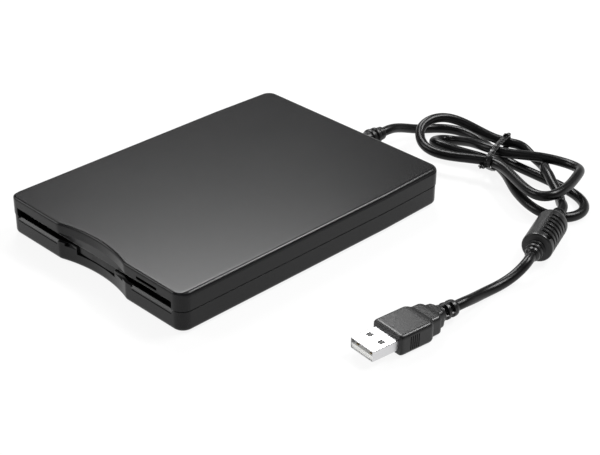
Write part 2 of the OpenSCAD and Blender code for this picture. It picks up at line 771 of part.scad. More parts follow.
module head_carriage() {
    color("#4a4b4f") difference() {
        union() {
            translate([-6, head_y - 2.4, base_z])
                cube([12, block_y - head_y + 2.4 + eps, base_t]);
            translate([-6, block_y, base_z]) cube([12, 2, rod_z - base_z]);
            translate([-block_half, block_y, rod_z - 2.2])
                cube([2 * block_half, block_l, block_top - rod_z + 2.2]);
            translate([stepper_x - 2.4, nut_y, rod_z - 2])
                cube([-block_half - stepper_x + 2.4 + eps, nut_l, 3.8]);
            translate([-cheek_x - cheek_t, block_y + 1, block_top - eps])
                cube([2 * (cheek_x + cheek_t), 5.4, 0.7]);
            both_sides() translate([cheek_x, block_y + 1, block_top - eps])
                cube([cheek_t, 5.4, arm_z - block_top + 0.9]);
        }
        for (x = [-rod_pitch / 2, rod_pitch / 2])
            rod_y(block_y - 1, block_l + 2, x, rod_z, rod_r + run_gap);
        rod_y(nut_y - 1, nut_l + 2, stepper_x, rod_z, screw_r + 0.08);
        rod_x(-cheek_x - cheek_t - 1, 2 * (cheek_x + cheek_t) + 2, arm_y, arm_z,
            arm_pin_r + run_gap);
    }
}

module lower_head() {
    color("#8c8f94") translate([-2, head_y - 2, base_z + base_t])
        cube([4, 4, slot_z - 0.1 - base_z - base_t]);
}

// Upper arm, drawn flat and then lifted about its pin
module upper_arm() {
    color(steel) translate([0, arm_y, arm_z]) rotate([-arm_lift, 0, 0]) {
        rod_x(-1.6, cheek_x + 1.5, 0, 0, 0.9);
        rod_x(-cheek_x - cheek_t, 2 * (cheek_x + cheek_t), 0, 0, arm_pin_r);
        translate([-1.6, -3, -arm_t / 2]) cube([cheek_x + 1.5, 3, arm_t]);
        translate([-3, -arm_len + 6, -arm_t / 2]) cube([6, arm_len - 7.6, arm_t]);
        translate([-5, -arm_len, -arm_t / 2]) cube([10, 7, arm_t]);
    }
}

module upper_head() {
    drop = arm_z + (arm_y - head_y) * tan(arm_lift) - carrier_roof_z - 0.2;
    color("#8c8f94") translate([0, arm_y, arm_z]) rotate([-arm_lift, 0, 0])
        translate([-2, head_y - arm_y - 2, -drop]) cube([4, 4, drop - arm_t / 2]);
}

module arm_spring() {
    color(steel) translate([-cheek_x + 0.25, arm_y, arm_z]) rotate([0, 0, -90])
        coil(0.78, 0.25, 4, 1.5);
}

// The thread is a round bar that winds about the screw's axis once per pitch
module lead_screw() {
    y0 = rod_tab_y + 1;
    length = stepper_y - 0.9 - y0;
    m = ceil(8 * length / screw_pitch);
    color("#d5d7da") {
        rod_y(rod_tab_y - 0.1, 1.2, stepper_x, rod_z, journal_r);
        tube([for (k = [0:m]) let(y = length * k / m, a = 360 * y / screw_pitch)
            [stepper_x + thread_d * cos(a), y0 + y, rod_z + thread_d * sin(a)]],
            2 * (screw_r - thread_d), 10);
        rod_y(y0 + length - 0.05, 3.2, stepper_x, rod_z, journal_r);
    }
}

module stepper_motor() {
    color("#9da0a5") difference() {
        union() {
            translate([stepper_x - 5, stepper_y - 0.5, rod_z - 3.2]) cube([10, 0.5, 8]);
            rod_y(stepper_y, stepper_l, stepper_x, rod_z, stepper_r);
        }
        rod_y(stepper_y - 1, 4, stepper_x, rod_z, journal_r + run_gap);
    }
}

module motor_board() {
    color(board_green) translate([-motor_half, hub_y - motor_front, board_z])
        cube([2 * motor_half, 2 * motor_half, board_t]);
}

module stator_coils() {
    color("#b06a35") for (i = [0:coil_count - 1]) translate([0, hub_y, board_top])
        rotate(360 * i / coil_count) translate([coil_ring_r, 0, 0])
            rounded_plate(8, 4.4, 1.8, 1.2);
}

module spindle_bearing() {
    color("#a58a4b") translate([0, hub_y, bearing_z]) difference() {
        union() {
            cylinder(r = bearing_r, h = rotor_z - 0.2 - bearing_z);
            cylinder(r = bearing_r + 2, h = 0.6);
        }
        translate([0, 0, 0.3]) cylinder(r = shaft_r + run_gap, h = rotor_z);
    }
}

module spindle_shaft() {
    color("#d5d7da") translate([0, hub_y, bearing_z + 0.4]) {
        cylinder(r = shaft_r, h = slot_z - 0.7 - bearing_z);
        translate([0, 0, slot_z - 0.7 - bearing_z]) cylinder(r1 = shaft_r, r2 = shaft_r - 0.3, h = 0.25);
    }
}

module spindle_rotor() {
    color(steel) translate([0, hub_y, 0]) difference() {
        union() {
            translate([0, 0, rotor_z]) cylinder(r = rotor_r, h = rotor_t, $fn = 96);
            translate([0, 0, rotor_skirt_z]) cylinder(r = rotor_r, h = rotor_z - rotor_skirt_z + eps,
                $fn = 96);
        }
        translate([0, 0, rotor_skirt_z - 1])
            cylinder(r = rotor_r - 1.8, h = rotor_z - rotor_skirt_z + 1, $fn = 96);
        cylinder(r = shaft_r + fit_gap, h = 20);
        translate([drive_pin_at, 0, 0]) cylinder(r = drive_pin_r + 0.3, h = 20);
    }
}

module hub_plate() {
    color("#c9cbce") translate([0, hub_y, hub_z]) difference() {
        cylinder(r = hub_r, h = hub_t);
        translate([0, 0, -1]) cylinder(r = shaft_r + fit_gap, h = hub_t + 2);
        translate([drive_pin_at, 0, -1]) cylinder(r = drive_pin_r + run_gap, h = hub_t + 2);
    }
}

module drive_pin() {
    color("#d5d7da") translate([drive_pin_at, hub_y, hub_z + 0.05])
        cylinder(r = drive_pin_r, h = hub_t + 1);
}

module main_board() {
    color(board_green) translate([-main_half, main_y, board_z])
        cube([2 * main_half, main_l, board_t]);
}

module board_chips() {
    color(black_plastic) for (c = [[-28, 10, 12, 12], [-2, 9, 9, 9], [22, 12, 14, 8],
            [34, 26, 6, 10], [-14, 27, 8, 5]])
        translate([c[0], main_y + c[1], board_top]) rounded_plate(c[2], c[3], 0.9, 0.4);
}

module usb_board() {
    color(board_green) translate([-usb_half, usb_y, usb_z])
        cube([2 * usb_half, usb_l, board_t]);
}

module usb_chips() {
    color(black_plastic) for (c = [[-20, 2.9, 7, 5], [-8, 2.9, 4, 3], [10, 2.9, 5, 4]])
        translate([c[0], usb_y + c[1], usb_z + board_t]) rounded_plate(c[2], c[3], 1.2, 0.4);
}

module clock_crystal() {
    color("#d5d7da") translate([9 - usb_half, usb_y + 2.9, usb_z + board_t])
        rounded_plate(8, 3.4, 3, 1.6);
}

// Flat ribbon: a folded line in [y, z], thickened and given its width along X
module ribbon(x0, width, line, t) {
    n = len(line) - 1;
    normals = [for (i = [0:n - 1]) let(d = unit(line[i + 1] - line[i])) [-d.y, d.x]];
    mitres = [for (i = [0:n]) let(a = normals[max(i - 1, 0)], m = unit(a + normals[min(i, n - 1)]))
        t / 2 * m / (m * a)];
    translate([x0, 0, 0]) rotate([90, 0, 90]) linear_extrude(width)
        polygon(concat([for (i = [0:n]) line[i] - mitres[i]],
            [for (i = [n:-1:0]) line[i] + mitres[i]]));
}

module head_ribbon() {
    y1 = block_y + block_l;
    color("#b57a2e") ribbon(-4, 8, [[y1 + 0.12, rod_z], [y1 + 1.1, rod_z - 1.2],
        [y1 + 0.9, deck_top + 0.14], [block_y + 1, deck_top + 0.14],
        [block_y + 0.9, board_top + 0.12], [block_y - 3, board_top + 0.12]], 0.15);
}

module link_ribbon() {
    y0 = main_y + main_l;
    color("#b57a2e") ribbon(14, 12, [[y0 - 3, board_top + 0.12], [y0 + 4, board_top + 0.3],
        [usb_y - 0.7, board_top + 0.4], [usb_y - 0.25, usb_z + board_t + 0.12],
        [usb_y + 1.6, usb_z + board_t + 0.12]], 0.15);
}

module switch_housings() {
    color("#d8d5c8") for (p = switch_spots) translate([p.x, p.y, deck_top]) difference() {
        rounded_plate(5, 6, switch_top - deck_top, 0.4);
        translate([0, 0, 0.4]) cylinder(r = plunger_r + run_gap, h = 4);
    }
}

module plunger(p) {
    color("#3a3b3e") translate([p.x, p.y, deck_top + 0.4 + plunger_travel + 0.05]) {
        h = plunger_top - deck_top - 0.4 - plunger_travel - 0.05;
        cylinder(r = plunger_r, h = h - 0.2);
        translate([0, 0, h - 0.2]) cylinder(r1 = plunger_r, r2 = plunger_r - 0.2, h = 0.2);
    }
}

module density_plunger() {
    plunger(switch_spots[0]);
}

module protect_plunger() {
    plunger(switch_spots[1]);
}

module disk_plunger() {
    plunger(switch_spots[2]);
}

// Strain relief: a flange each side of the back wall, and a ribbed taper outside
module strain_relief() {
    out = back_y + 0.05;
    color(black_cord) translate([relief_x, 0, relief_z]) rotate([-90, 0, 0])
        rotate_extrude() polygon([[0, back_in - 1.8], [4.6, back_in - 1.8], [4.6, back_in - 0.05],
            [relief_neck, back_in - 0.05], [relief_neck, out], [4.4, out], [4.4, out + 1.3],
            [3.4, out + 1.5], [3.3, relief_end - 8.4], [4, relief_end - 8], [4, relief_end - 6.6],
            [2.9, relief_end - 6.3], [2.9, relief_end - 5.2], [3.7, relief_end - 4.9],
            [3.7, relief_end - 3.6], [2.8, relief_end - 3.3], [2.8, relief_end - 2.3],
            [relief_r + 0.2, relief_end - 2], [relief_r, relief_end - 0.2],
            [relief_r - 0.2, relief_end], [0, relief_end]]);
}

module cord_lead() {
    start = hank_point(0, 0);
    color(black_cord) tube(concat(lead_route, [start - 2 * cord_d * hank_along(0),
        start - cord_d * hank_along(0)]), cord_d);
}

// A loop's lean at angle u of its half turn, blended across the tie
function hank_lean(i, u) = u < waist_turn && i > 0
    ? let(w = ease((u + waist_turn) / (2 * waist_turn)))
        hank_loops[i - 1][0] * (1 - w) + hank_loops[i][0] * w
    : u > 180 - waist_turn && i < 3
    ? let(w = ease((180 - u + waist_turn) / (2 * waist_turn)))
        hank_loops[i + 1][0] * (1 - w) + hank_loops[i][0] * w
    : hank_loops[i][0];

// Point of loop i at angle u: out to its reach and back, with a belly on each run
function hank_point(i, u) = let(
    l = hank_loops[i], side = i % 2 == 0 ? 1 : -1, a = hank_lean(i, u), m = ease(u / 180),
    p = hank_passes[i] * (1 - m) + hank_passes[i + 1] * m,
    soft = (norm([sin(u), waist_soft]) - waist_soft) / (norm([1, waist_soft]) - waist_soft),
    along = side * l[1] * sin(u),
    belly = side * 2 * (cos(u) > 0 ? l[2] : l[3]) * soft * sign(cos(u)) * pow(abs(cos(u)), l[4]),
    across = p[0] + belly,
    z = p[1] + (l[5] + l[6] * cos(u)) * sin(u) * sin(u))
    [hank_tie.x + along * cos(a) - across * sin(a), hank_tie.y + along * sin(a) + across * cos(a), z];

// Direction of the cord where it enters the hank, and where it leaves
function hank_along(i) = [cos(hank_loops[i][0]), sin(hank_loops[i][0]), 0];

function hank_path(steps) = concat([hank_point(0, 0) - cord_d * hank_along(0)],
    [for (i = [0:3]) for (k = [0:steps - 1]) hank_point(i, 180 * k / steps)],
    [hank_point(3, 180), hank_point(3, 180) + cord_d * hank_along(3)]);

// Least gap of the cord to itself in the hank, past the stretch on either side of a point
function hank_gap(p, apart) = min([for (i = [0:len(p) - 1 - apart])
    min([for (j = [i + apart:len(p) - 1]) norm(p[i] - p[j])])]) - cord_d;

module cord_hank() {
    echo(least_gap_in_hank = hank_gap(hank_path(48), 9));
    color(black_cord) tube(hank_path(loop_rings), cord_d, hank_sides);
}

// Tie: a band drawn round the strands at the waist
module cord_tie() {
    color("#101113") translate([hank_tie.x, hank_tie.y, 0]) rotate([90, 0, 90 + tie_lean])
        translate([0, 0, -tie_half]) linear_extrude(2 * tie_half) difference() {
            hull() tie_strands(cord_r + rest_gap + 0.6);
            hull() tie_strands(cord_r + rest_gap);
        }
}

module tie_strands(r) {
    for (d = [-tie_half, 0, tie_half], p = tie_cuts(d)) translate(p) circle(r, $fn = 24);
}

// Where the cord crosses a plane d beyond the tie's middle: [across, height] of each strand
function tie_cuts(d) = let(
    route = concat([hank_point(0, 0) - 3 * cord_d * hank_along(0)], hank_path(loop_rings)),
    p = [for (q = route) let(x = q.x - hank_tie.x, y = q.y - hank_tie.y)
        [x * cos(tie_lean) + y * sin(tie_lean) - d, y * cos(tie_lean) - x * sin(tie_lean), q.z]])
    [for (i = [0:len(p) - 2]) let(a = p[i], b = p[i + 1])
        if (a.x * b.x <= 0 && abs(a.y) < tie_span) let(w = a.x / (a.x - b.x))
            [a.y + w * (b.y - a.y), a.z + w * (b.z - a.z)]];

module cord_link() {
    start = hank_point(3, 180) + cord_d * hank_along(3);
    color(black_cord) tube(concat([start, start + cord_d * hank_along(3)], link_route), cord_d);
}

module ferrite_bead() {
    r = bead_d / 2;
    color(black_plastic) translate(bead_at) rotate([0, 0, atan2(bead_dir.y, bead_dir.x) - 90])
        rotate([asin(bead_dir.z) - 90, 0, 0]) difference() {
            rotate_extrude() polygon([[0, 0], [2.6, 0], [2.9, 0.3], [2.9, 1.3], [2.4, 1.6],
                [2.4, 2.4], [3.1, 2.7], [3.1, 3.8], [2.5, 4.1], [2.5, 4.8], [3.4, 5.1],
                [3.5, bead_neck - 0.2], [5.2, bead_neck], [r, bead_neck + 1.5],
                [r, bead_neck + bead_l - 1.5], [5.2, bead_neck + bead_l],
                [3.7, bead_neck + bead_l + 0.4], [3.7, bead_neck + bead_l + 1.4],
                [2.9, bead_neck + bead_l + 1.7], [2.9, bead_neck + bead_l + 2.5],
                [3.5, bead_neck + bead_l + 2.8], [3.5, bead_neck + bead_l + 3.8],
                [2.8, bead_neck + bead_l + 4.1], [2.8, bead_neck + bead_l + 5],
                [2.6, bead_neck + bead_l + bead_collar], [0, bead_neck + bead_l + bead_collar]]);
            for (i = [0:groove_count - 1])
                translate([0, 0, bead_neck + groove_start + groove_pitch * i]) rotate(92)
                    rotate_extrude(angle = 170) translate([r - 0.5, 0]) square([1, 1.1]);
            translate([0, 0, bead_neck + dimple_place]) rotate([0, 90, dimple_turn])
                translate([0, 0, r - 0.6]) cylinder(r = 0.7, h = 2);
        }
}

module cord_tail() {
    color(black_cord) tube(tail_route, cord_d);
}

// The plug's pieces stand in a frame at the mouth, with +Y towards the cord
module at_plug() {
    translate([plug_at.x, plug_at.y, 0]) rotate([0, 0, plug_turn]) children();
}

module plug_grip() {
    y1 = shell_free + grip_l;
    y2 = y1 + grip_neck;
    color(black_plastic) at_plug() difference() {
        union() {
            intersection() {
                translate([0, shell_free + grip_l / 2, 0])
                    rounded_plate(grip_w, grip_l, grip_h, 2.2);
                translate([0, shell_free, grip_h / 2]) rotate([-90, 0, 0])
                    rounded_plate(grip_w, grip_h, grip_l, 1.6);
            }
            both_sides() for (i = [0:3]) translate([grip_w / 2 - 0.1, shell_free + 3 + 1.9 * i, 1.6])
                cylinder(r = 0.5, h = grip_h - 3.2, $fn = 16);
            translate([0, y1 - eps, grip_h / 2]) rotate([-90, 0, 0])
                rounded_plate(10.6, 7.4, grip_neck / 2, 1.6);
            translate([0, y1 + grip_neck / 2 - eps, grip_h / 2]) rotate([-90, 0, 0])
                rounded_plate(8.8, 6.6, grip_neck / 2 + eps, 1.6);
            translate([0, y2 - eps, grip_h / 2]) rotate([-90, 0, 0]) rotate_extrude()
                polygon([[0, 0], [3.1, 0], [3, 1.6], [2.3, 1.7], [2.3, 2.8], [3, 2.9], [2.9, 4.6],
                    [2.3, 4.7], [2.3, 5.8], [2.8, 5.9], [2.6, plug_relief - 0.2],
                    [2.4, plug_relief + eps], [0, plug_relief + eps]]);
        }
        translate([-shell_w / 2 - fit_gap, shell_free - 1, shell_z - fit_gap])
            cube([shell_w + 2 * fit_gap, 7.2, shell_h + 2 * fit_gap]);
    }
}

module plug_shell() {
    length = shell_free + 6;
    color("#d9dbde") at_plug() difference() {
        translate([0, 0, grip_h / 2]) rotate([-90, 0, 0]) rounded_plate(shell_w, shell_h, length, 0.5);
        translate([-shell_w / 2 + shell_t, -1, shell_z + shell_t])
            cube([shell_w - 2 * shell_t, length + 2, shell_h - 2 * shell_t]);
        for (x = [-3.1, 3.1]) translate([x - 1.1, 5.2, shell_z - 1]) cube([2.2, 2.3, shell_h + 2]);
    }
}

module plug_insulator() {
    color("#e8e8e4") at_plug() {
        translate([-shell_w / 2 + shell_t + fit_gap, 0.4, shell_z + shell_t + fit_gap])
            cube([shell_w - 2 * shell_t - 2 * fit_gap, shell_free + 5, 1.85]);
        translate([-shell_w / 2 + shell_t + fit_gap, shell_free - 0.5,
            shell_z + shell_t + fit_gap])
            cube([shell_w - 2 * shell_t - 2 * fit_gap, 6, shell_h - 2 * shell_t - 2 * fit_gap]);
    }
}

module plug_contacts() {
    color("#c9a24a") at_plug() for (x = [-3.5, -1, 1, 3.5])
        translate([x - 0.5, 1 + (abs(x) < 2 ? 1 : 0), shell_z + shell_t + fit_gap + 1.85])
            cube([1, shell_free - 2.6, 0.12]);
}

top_cover();
bottom_cover();
rubber_feet();
case_screws();
light_pipe();
indicator_led();
dust_door();
door_spring();
eject_button();
slide_plate();
eject_springs();
disk_carrier();
lift_pins();
shutter_lever();
lever_stud();
lever_spring();
drive_chassis();
chassis_screws();
guide_rods();
head_carriage();
lower_head();
upper_arm();
upper_head();
arm_spring();
lead_screw();
stepper_motor();
motor_board();
stator_coils();
spindle_bearing();
spindle_shaft();
spindle_rotor();
hub_plate();
drive_pin();
main_board();
board_chips();
usb_board();
usb_chips();
clock_crystal();
head_ribbon();
link_ribbon();
switch_housings();
protect_plunger();
density_plunger();
disk_plunger();
strain_relief();
cord_lead();
cord_hank();
cord_tie();
cord_link();
ferrite_bead();
cord_tail();
plug_grip();
plug_shell();
plug_insulator();
plug_contacts();
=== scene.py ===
import json

import bpy
import numpy as np
from mathutils import Matrix, Vector

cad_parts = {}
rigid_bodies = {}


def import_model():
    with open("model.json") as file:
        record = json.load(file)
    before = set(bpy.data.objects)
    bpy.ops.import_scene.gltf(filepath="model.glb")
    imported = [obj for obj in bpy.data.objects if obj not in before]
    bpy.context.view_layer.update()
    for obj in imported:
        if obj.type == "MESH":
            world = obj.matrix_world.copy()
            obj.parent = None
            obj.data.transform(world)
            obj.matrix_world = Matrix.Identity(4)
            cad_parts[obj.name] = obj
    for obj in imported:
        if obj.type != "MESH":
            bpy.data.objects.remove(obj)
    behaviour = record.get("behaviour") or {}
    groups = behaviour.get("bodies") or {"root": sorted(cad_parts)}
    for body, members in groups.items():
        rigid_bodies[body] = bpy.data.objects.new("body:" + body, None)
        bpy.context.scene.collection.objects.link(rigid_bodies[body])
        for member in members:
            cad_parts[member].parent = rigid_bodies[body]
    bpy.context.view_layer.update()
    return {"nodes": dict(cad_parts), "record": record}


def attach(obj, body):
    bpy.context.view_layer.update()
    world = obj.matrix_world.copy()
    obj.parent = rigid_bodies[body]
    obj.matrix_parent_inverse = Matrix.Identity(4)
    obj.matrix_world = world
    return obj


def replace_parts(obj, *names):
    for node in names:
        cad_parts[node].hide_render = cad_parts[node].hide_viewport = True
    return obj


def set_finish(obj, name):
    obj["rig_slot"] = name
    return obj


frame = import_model()
nodes = frame["nodes"]
mm = 0.001
print("frame loaded,", len(nodes), "nodes")

camera = {
    "place": (0.40089, -0.35642, 0.30716),
    "azimuth": 45.31,
    "elevation": 30.22,
    "roll": 0.42,
    "lens": 90.48,
    "sensor": 36.0,
    "clip": (0.01, 20),
}


def addObject(name, data):
    # a new object at the origin, linked into the scene
    item = bpy.data.objects.new(name, data)
    bpy.context.scene.collection.objects.link(item)
    return item


def addCamera(values):
    # three axes from the angles: back from the object, right level, up across both, then rolled
    a, e, r = np.radians([values["azimuth"], values["elevation"], values["roll"]])
    back = np.array([np.sin(a) * np.cos(e), -np.cos(a) * np.cos(e), np.sin(e)])
    right = np.array([np.cos(a), np.sin(a), 0.0])
    up = np.cross(back, right)
    axes = np.array([right * np.cos(r) + up * np.sin(r), up * np.cos(r) - right * np.sin(r), back])
    data = bpy.data.cameras.new("camera")
    data.sensor_fit, data.sensor_width, data.lens = "HORIZONTAL", values["sensor"], values["lens"]
    data.clip_start, data.clip_end = values["clip"]
    item = addObject("camera", data)
    item.matrix_world = Matrix.Translation(values["place"]) @ Matrix(axes.T.tolist()).to_4x4()
    bpy.context.scene.camera = item


addCamera(camera)

# lengths below are in millimetres and angles in degrees
shading = {"smooth": 40, "bevelled": 35, "bevelFrom": 30, "faceWeight": 90}
upwards = np.array([0, 0, 1.0])


def pointsOf(mesh):
    # the places of a mesh's vertices, a row for each
    place = np.empty(len(mesh.vertices) * 3)
    mesh.vertices.foreach_get("co", place)
    return place.reshape(-1, 3)


def solidMesh(name, points, faces):
    # closed mesh whose faces are turned outwards where its enclosed volume comes out negative
    mesh = bpy.data.meshes.new(name)
    mesh.from_pydata((np.asarray(points, float) * mm).tolist(), [], faces)
    mesh.validate()
    mesh.calc_loop_triangles()
    corners = np.empty(len(mesh.loop_triangles) * 3, np.int32)
    mesh.loop_triangles.foreach_get("vertices", corners)
    t = pointsOf(mesh)[corners].reshape(-1, 3, 3)
    if np.einsum("ij,ij->", t[:, 0], np.cross(t[:, 1], t[:, 2])) < 0:
        mesh.flip_normals()
    return mesh


def shadeSmooth(mesh, angle):
    # smooth faces, with an edge kept sharp where its faces meet at more than the angle
    mesh.polygons.foreach_set("use_smooth", np.ones(len(mesh.polygons), bool))
    mesh.set_sharp_from_angle(angle=np.radians(angle))
    mesh.update()


def newPiece(name, points, faces, body, finish, smoothAngle=shading["smooth"]):
    # a closed mesh made a piece that rides on one body of the part and wears one finish
    mesh = solidMesh(name, points, faces)
    shadeSmooth(mesh, smoothAngle)
    piece = addObject(name, mesh)
    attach(piece, body)
    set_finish(piece, finish)
    return piece


def gridFaces(rows, columns, closeRows=False):
    # quads between neighbours of a grid of points, each row of which is a closed ring
    i = np.arange(rows if closeRows else rows - 1)[:, None]
    j = np.arange(columns)[None, :]
    i2, j2 = (i + 1) % rows, (j + 1) % columns
    quads = np.stack(np.broadcast_arrays(i * columns + j, i * columns + j2, i2 * columns + j2,
                                         i2 * columns + j), axis=-1)
    return quads.reshape(-1, 4).tolist()


def stackFaces(rows, columns):
    # a closed body of stacked rings: quads round the sides, one flat face on each end
    ends = [list(range(columns))[::-1], list(range((rows - 1) * columns, rows * columns))]
    return gridFaces(rows, columns) + ends


def unit(v):
    # a vector, or each row of vectors, divided by its length
    v = np.asarray(v, float)
    return v / np.linalg.norm(v, axis=-1, keepdims=True)


def easeInOut(t):
    # 3 t squared less 2 t cubed, held at 0 and 1 outside
    c = np.clip(t, 0, 1)
    return c * c * (3 - 2 * c)


def windowOf(angle, low, high, soft):
    # 1 between the two angles and 0 outside, with soft ends
    return easeInOut((angle - low) / soft + 0.5) * easeInOut((high - angle) / soft + 0.5)


def circle(count, radius=1.0):
    # evenly spaced points: radius times [cos a, sin a]
    a = np.linspace(0, 2 * np.pi, count, endpoint=False)
    return np.stack([np.cos(a), np.sin(a)], axis=1) * radius


def acrossAxis(way):
    # right and up as seen along a direction; straight up has +X for its right
    way = unit(way)
    right = unit(np.cross(way, upwards)) if abs(way[2]) < 0.99 else np.array([1.0, 0, 0])
    return right, np.cross(right, way)


def turned(profile, origin, way, sides):
    # closed profile of [distance, radius] points turned about an axis
    p = np.asarray(profile, float)
    right, up = acrossAxis(way)
    spokes = circle(sides) @ np.stack([right, up])
    points = np.asarray(origin) + p[:, :1, None] * unit(way) + p[:, 1, None, None] * spokes[None]
    return points.reshape(-1, 3), gridFaces(len(p), sides, closeRows=True)


def plainRod(origin, way, length, radius, sides=48):
    # plain closed cylinder, used to cut holes
    right, up = acrossAxis(way)
    ring = np.asarray(origin) + circle(sides, radius) @ np.stack([right, up])
    return np.concatenate([ring, ring + length * unit(way)]), stackFaces(2, sides)


def boxMesh(low, high):
    # the eight corners between two opposite ones
    low, high = np.minimum(low, high), np.maximum(low, high)
    corners = np.array([[x, y, z] for z in (0, 1) for y in (0, 1) for x in (0, 1)], float)
    faces = [[0, 2, 3, 1], [4, 5, 7, 6], [0, 1, 5, 4], [2, 6, 7, 3], [0, 4, 6, 2], [1, 3, 7, 5]]
    return low + corners * (high - low), faces


def prismX(x0, x1, section):
    # a [y, z] outline carried straight along X
    s = np.asarray(section, float)
    ends = [np.column_stack([np.full(len(s), x), s]) for x in (x0, x1)]
    return np.concatenate(ends), stackFaces(2, len(s))


def combine(parts):
    # several pairs of points and faces put together as one pair
    points, faces, start = [], [], 0
    for p, f in parts:
        points.append(np.asarray(p, float))
        faces += [[i + start for i in face] for face in f]
        start += len(p)
    return np.concatenate(points), faces


def applyModifiers(piece):
    # the mesh that the modifiers give takes the place of the piece's own
    graph = bpy.context.evaluated_depsgraph_get()
    mesh = bpy.data.meshes.new_from_object(piece.evaluated_get(graph))
    piece.modifiers.clear()
    piece.data = mesh


def cut(piece, parts, operation="DIFFERENCE"):
    # takes closed solids that don't touch one another out of the piece, or adds them to it
    tool = addObject("cutter", solidMesh("cutter", *combine(parts)))
    step = piece.modifiers.new("cut", "BOOLEAN")
    step.object, step.operation, step.solver = tool, operation, "EXACT"
    applyModifiers(piece)
    bpy.data.objects.remove(tool)


def addLoose(piece, parts):
    # joins separate closed shells to the piece's mesh and shades the whole anew
    shell = solidMesh("shell", *combine(parts))
    both = [(pointsOf(mesh), [list(p.vertices) for p in mesh.polygons])
            for mesh in (piece.data, shell)]
    points, faces = combine(both)
    piece.data = bpy.data.meshes.new(piece.name)
    piece.data.from_pydata(points.tolist(), [], faces)
    shadeSmooth(piece.data, shading["bevelled"])


def softenEdges(piece, width, angle=shading["bevelFrom"]):
    # a bevel of two steps on every edge that turns by more than the angle
    step = piece.modifiers.new("soft edges", "BEVEL")
    step.width, step.segments, step.limit_method = width * mm, 2, "ANGLE"
    step.angle_limit = np.radians(angle)
    applyModifiers(piece)
    shadeSmooth(piece.data, shading["bevelled"])


def flatNormals(piece):
    # corner normals weighted by face area, so that broad flat faces shade flat up to their edges
    step = piece.modifiers.new("normals", "WEIGHTED_NORMAL")
    step.keep_sharp, step.weight = True, shading["faceWeight"]
    applyModifiers(piece)
    return piece


cord = {
    "diameter": 4.2,
    "sides": 24,
    "spacing": 1.1,
    "lead": [[2.5, 88, 8.8], [2.5, 92.2, 8.8], [2.2, 98, 7.6], [2.6, 104, 5.6], [3.9, 110, 3.6],
             [6, 116, 2.5], [9.6, 121, 2.1], [15, 124, 2.1], [23, 125, 2.1], [31, 123.5, 2.3]],
    "link": [[55.3, 125.9, 4.9], [59.2, 126.1, 3.2], [63.1, 125.2, 2.4], [66.3, 123, 2.4],
             [68.6, 120.3, 4], [69.7, 117.7, 6.9], [72.4, 114.4, 7.8], [76.4, 111.5, 7.9],
             [80.6, 108.4, 7.2], [85, 105.6, 6.4], [89, 102.5, 5.7], [92.3, 99.1, 5.5],
             [95, 96.2, 6.9]],
    "tail": [[112.5, 46.3, 4.2], [112.2, 40.6, 2.8], [111.6, 34.4, 2.1], [111.2, 27, 2.3],
             [111.8, 19.5, 3.4]],
    # each ease: a spot, its reach, the shift there, and the length the line is averaged over
    "eases": [[[80.2, 129, 6], 12, [0.6, -1.6, 0], 13], [[18, 108, 4], 8, [0.7, 0.7, 0], 9],
              [[53, 126, 6.5], 8, [0, -0.5, 0], 9]],
}
bead = {
    "place": np.array([98.9, 89.1, 7.2]),
    "way": unit([0.335, -0.942, -0.03]),
    "radius": 6.3,
    "neck": 7,
    "body": 22,
    "middle": 18,
    # [distance, radius] from the rear end up to the barrel's full radius
    "rear": [[0, 2.15], [0.25, 2.6], [0.5, 2.85], [1.3, 2.9], [1.55, 2.45], [2.4, 2.45],
             [2.65, 3.1], [3.8, 3.1], [4.05, 2.55], [4.8, 2.55], [5.1, 3.4], [6.6, 3.5],
             [6.95, 3.9], [7.15, 4.8], [7.6, 5.6], [8.2, 6.05], [9, 6.25], [9.8, 6.3]],
    # about the barrel's front end: [distance, drop below the radius], then [distance, radius]
    "edge": [[-0.9, 0], [-0.45, 0.12], [-0.12, 0.5], [0, 1]],
    "collar": [[0.1, 4.1], [0.3, 3.55], [0.5, 3.6], [0.7, 3.95], [1.6, 3.9], [1.8, 3.0],
               [2.4, 3.0], [2.6, 3.6], [3.5, 3.5], [3.7, 2.8], [4.4, 2.8], [4.6, 3.15],
               [5.5, 2.95], [6.5, 2.2]],
    "rows": 420,
    "sides": 112,
    "grooves": 6,
    "grooveStart": 5.25,
    "groovePitch": 2.6,
    "grooveHalf": 0.68,
    "grooveSoft": 0.3,
    "grooveDepth": 1,
    "grooveSpan": [-86, 84, 9],
    "dimple": {"along": 19.9, "angle": 50, "size": 1.2, "soft": 0.35, "depth": 1.3},
}
bead["end"] = bead["neck"] + bead["body"] + bead["collar"][-1][0]
plug = {
    "mouth": np.array([106.9, -34.8, 0]),
    "turn": -6,
    "middle": 4.25,
    "shellFree": 11.8,
    "grip": 16.5,
    "neck": 7.5,
    "relief": 9.5,
}
plug["end"] = plug["shellFree"] + plug["grip"] + plug["neck"] + plug["relief"]
hank = {
    "tie": [48, 112.8],
    # each loop: lean, reach, belly on the way out and back, roundness, lift and tilt
    "loops": [[-16, 53.6, 11, 9.6, 0.97, -1.3, -0.8], [3.9, 31.4, 5.3, 4.4, 0.61, -2.8, 7],
              [20.9, 38.1, 6.2, 25.8, 0.76, 1.1, -3.5], [20.2, 35.8, 5.8, 7.4, 1.4, 4, -6.6]],
    # where the cord passes the tie: [across, height]
    "passes": [[3.7, 3.2], [-4, 4.1], [-1.7, 8.9], [-11.6, 8.3], [11.3, 7.2]],
    "rings": 24,
    "soft": 0.35,
    "turn": 31.5,
}


def distances(points):
    # how far each point is along the line through them all
    steps = np.linalg.norm(np.diff(points, axis=0), axis=1)
    return np.concatenate([[0], np.cumsum(steps)])


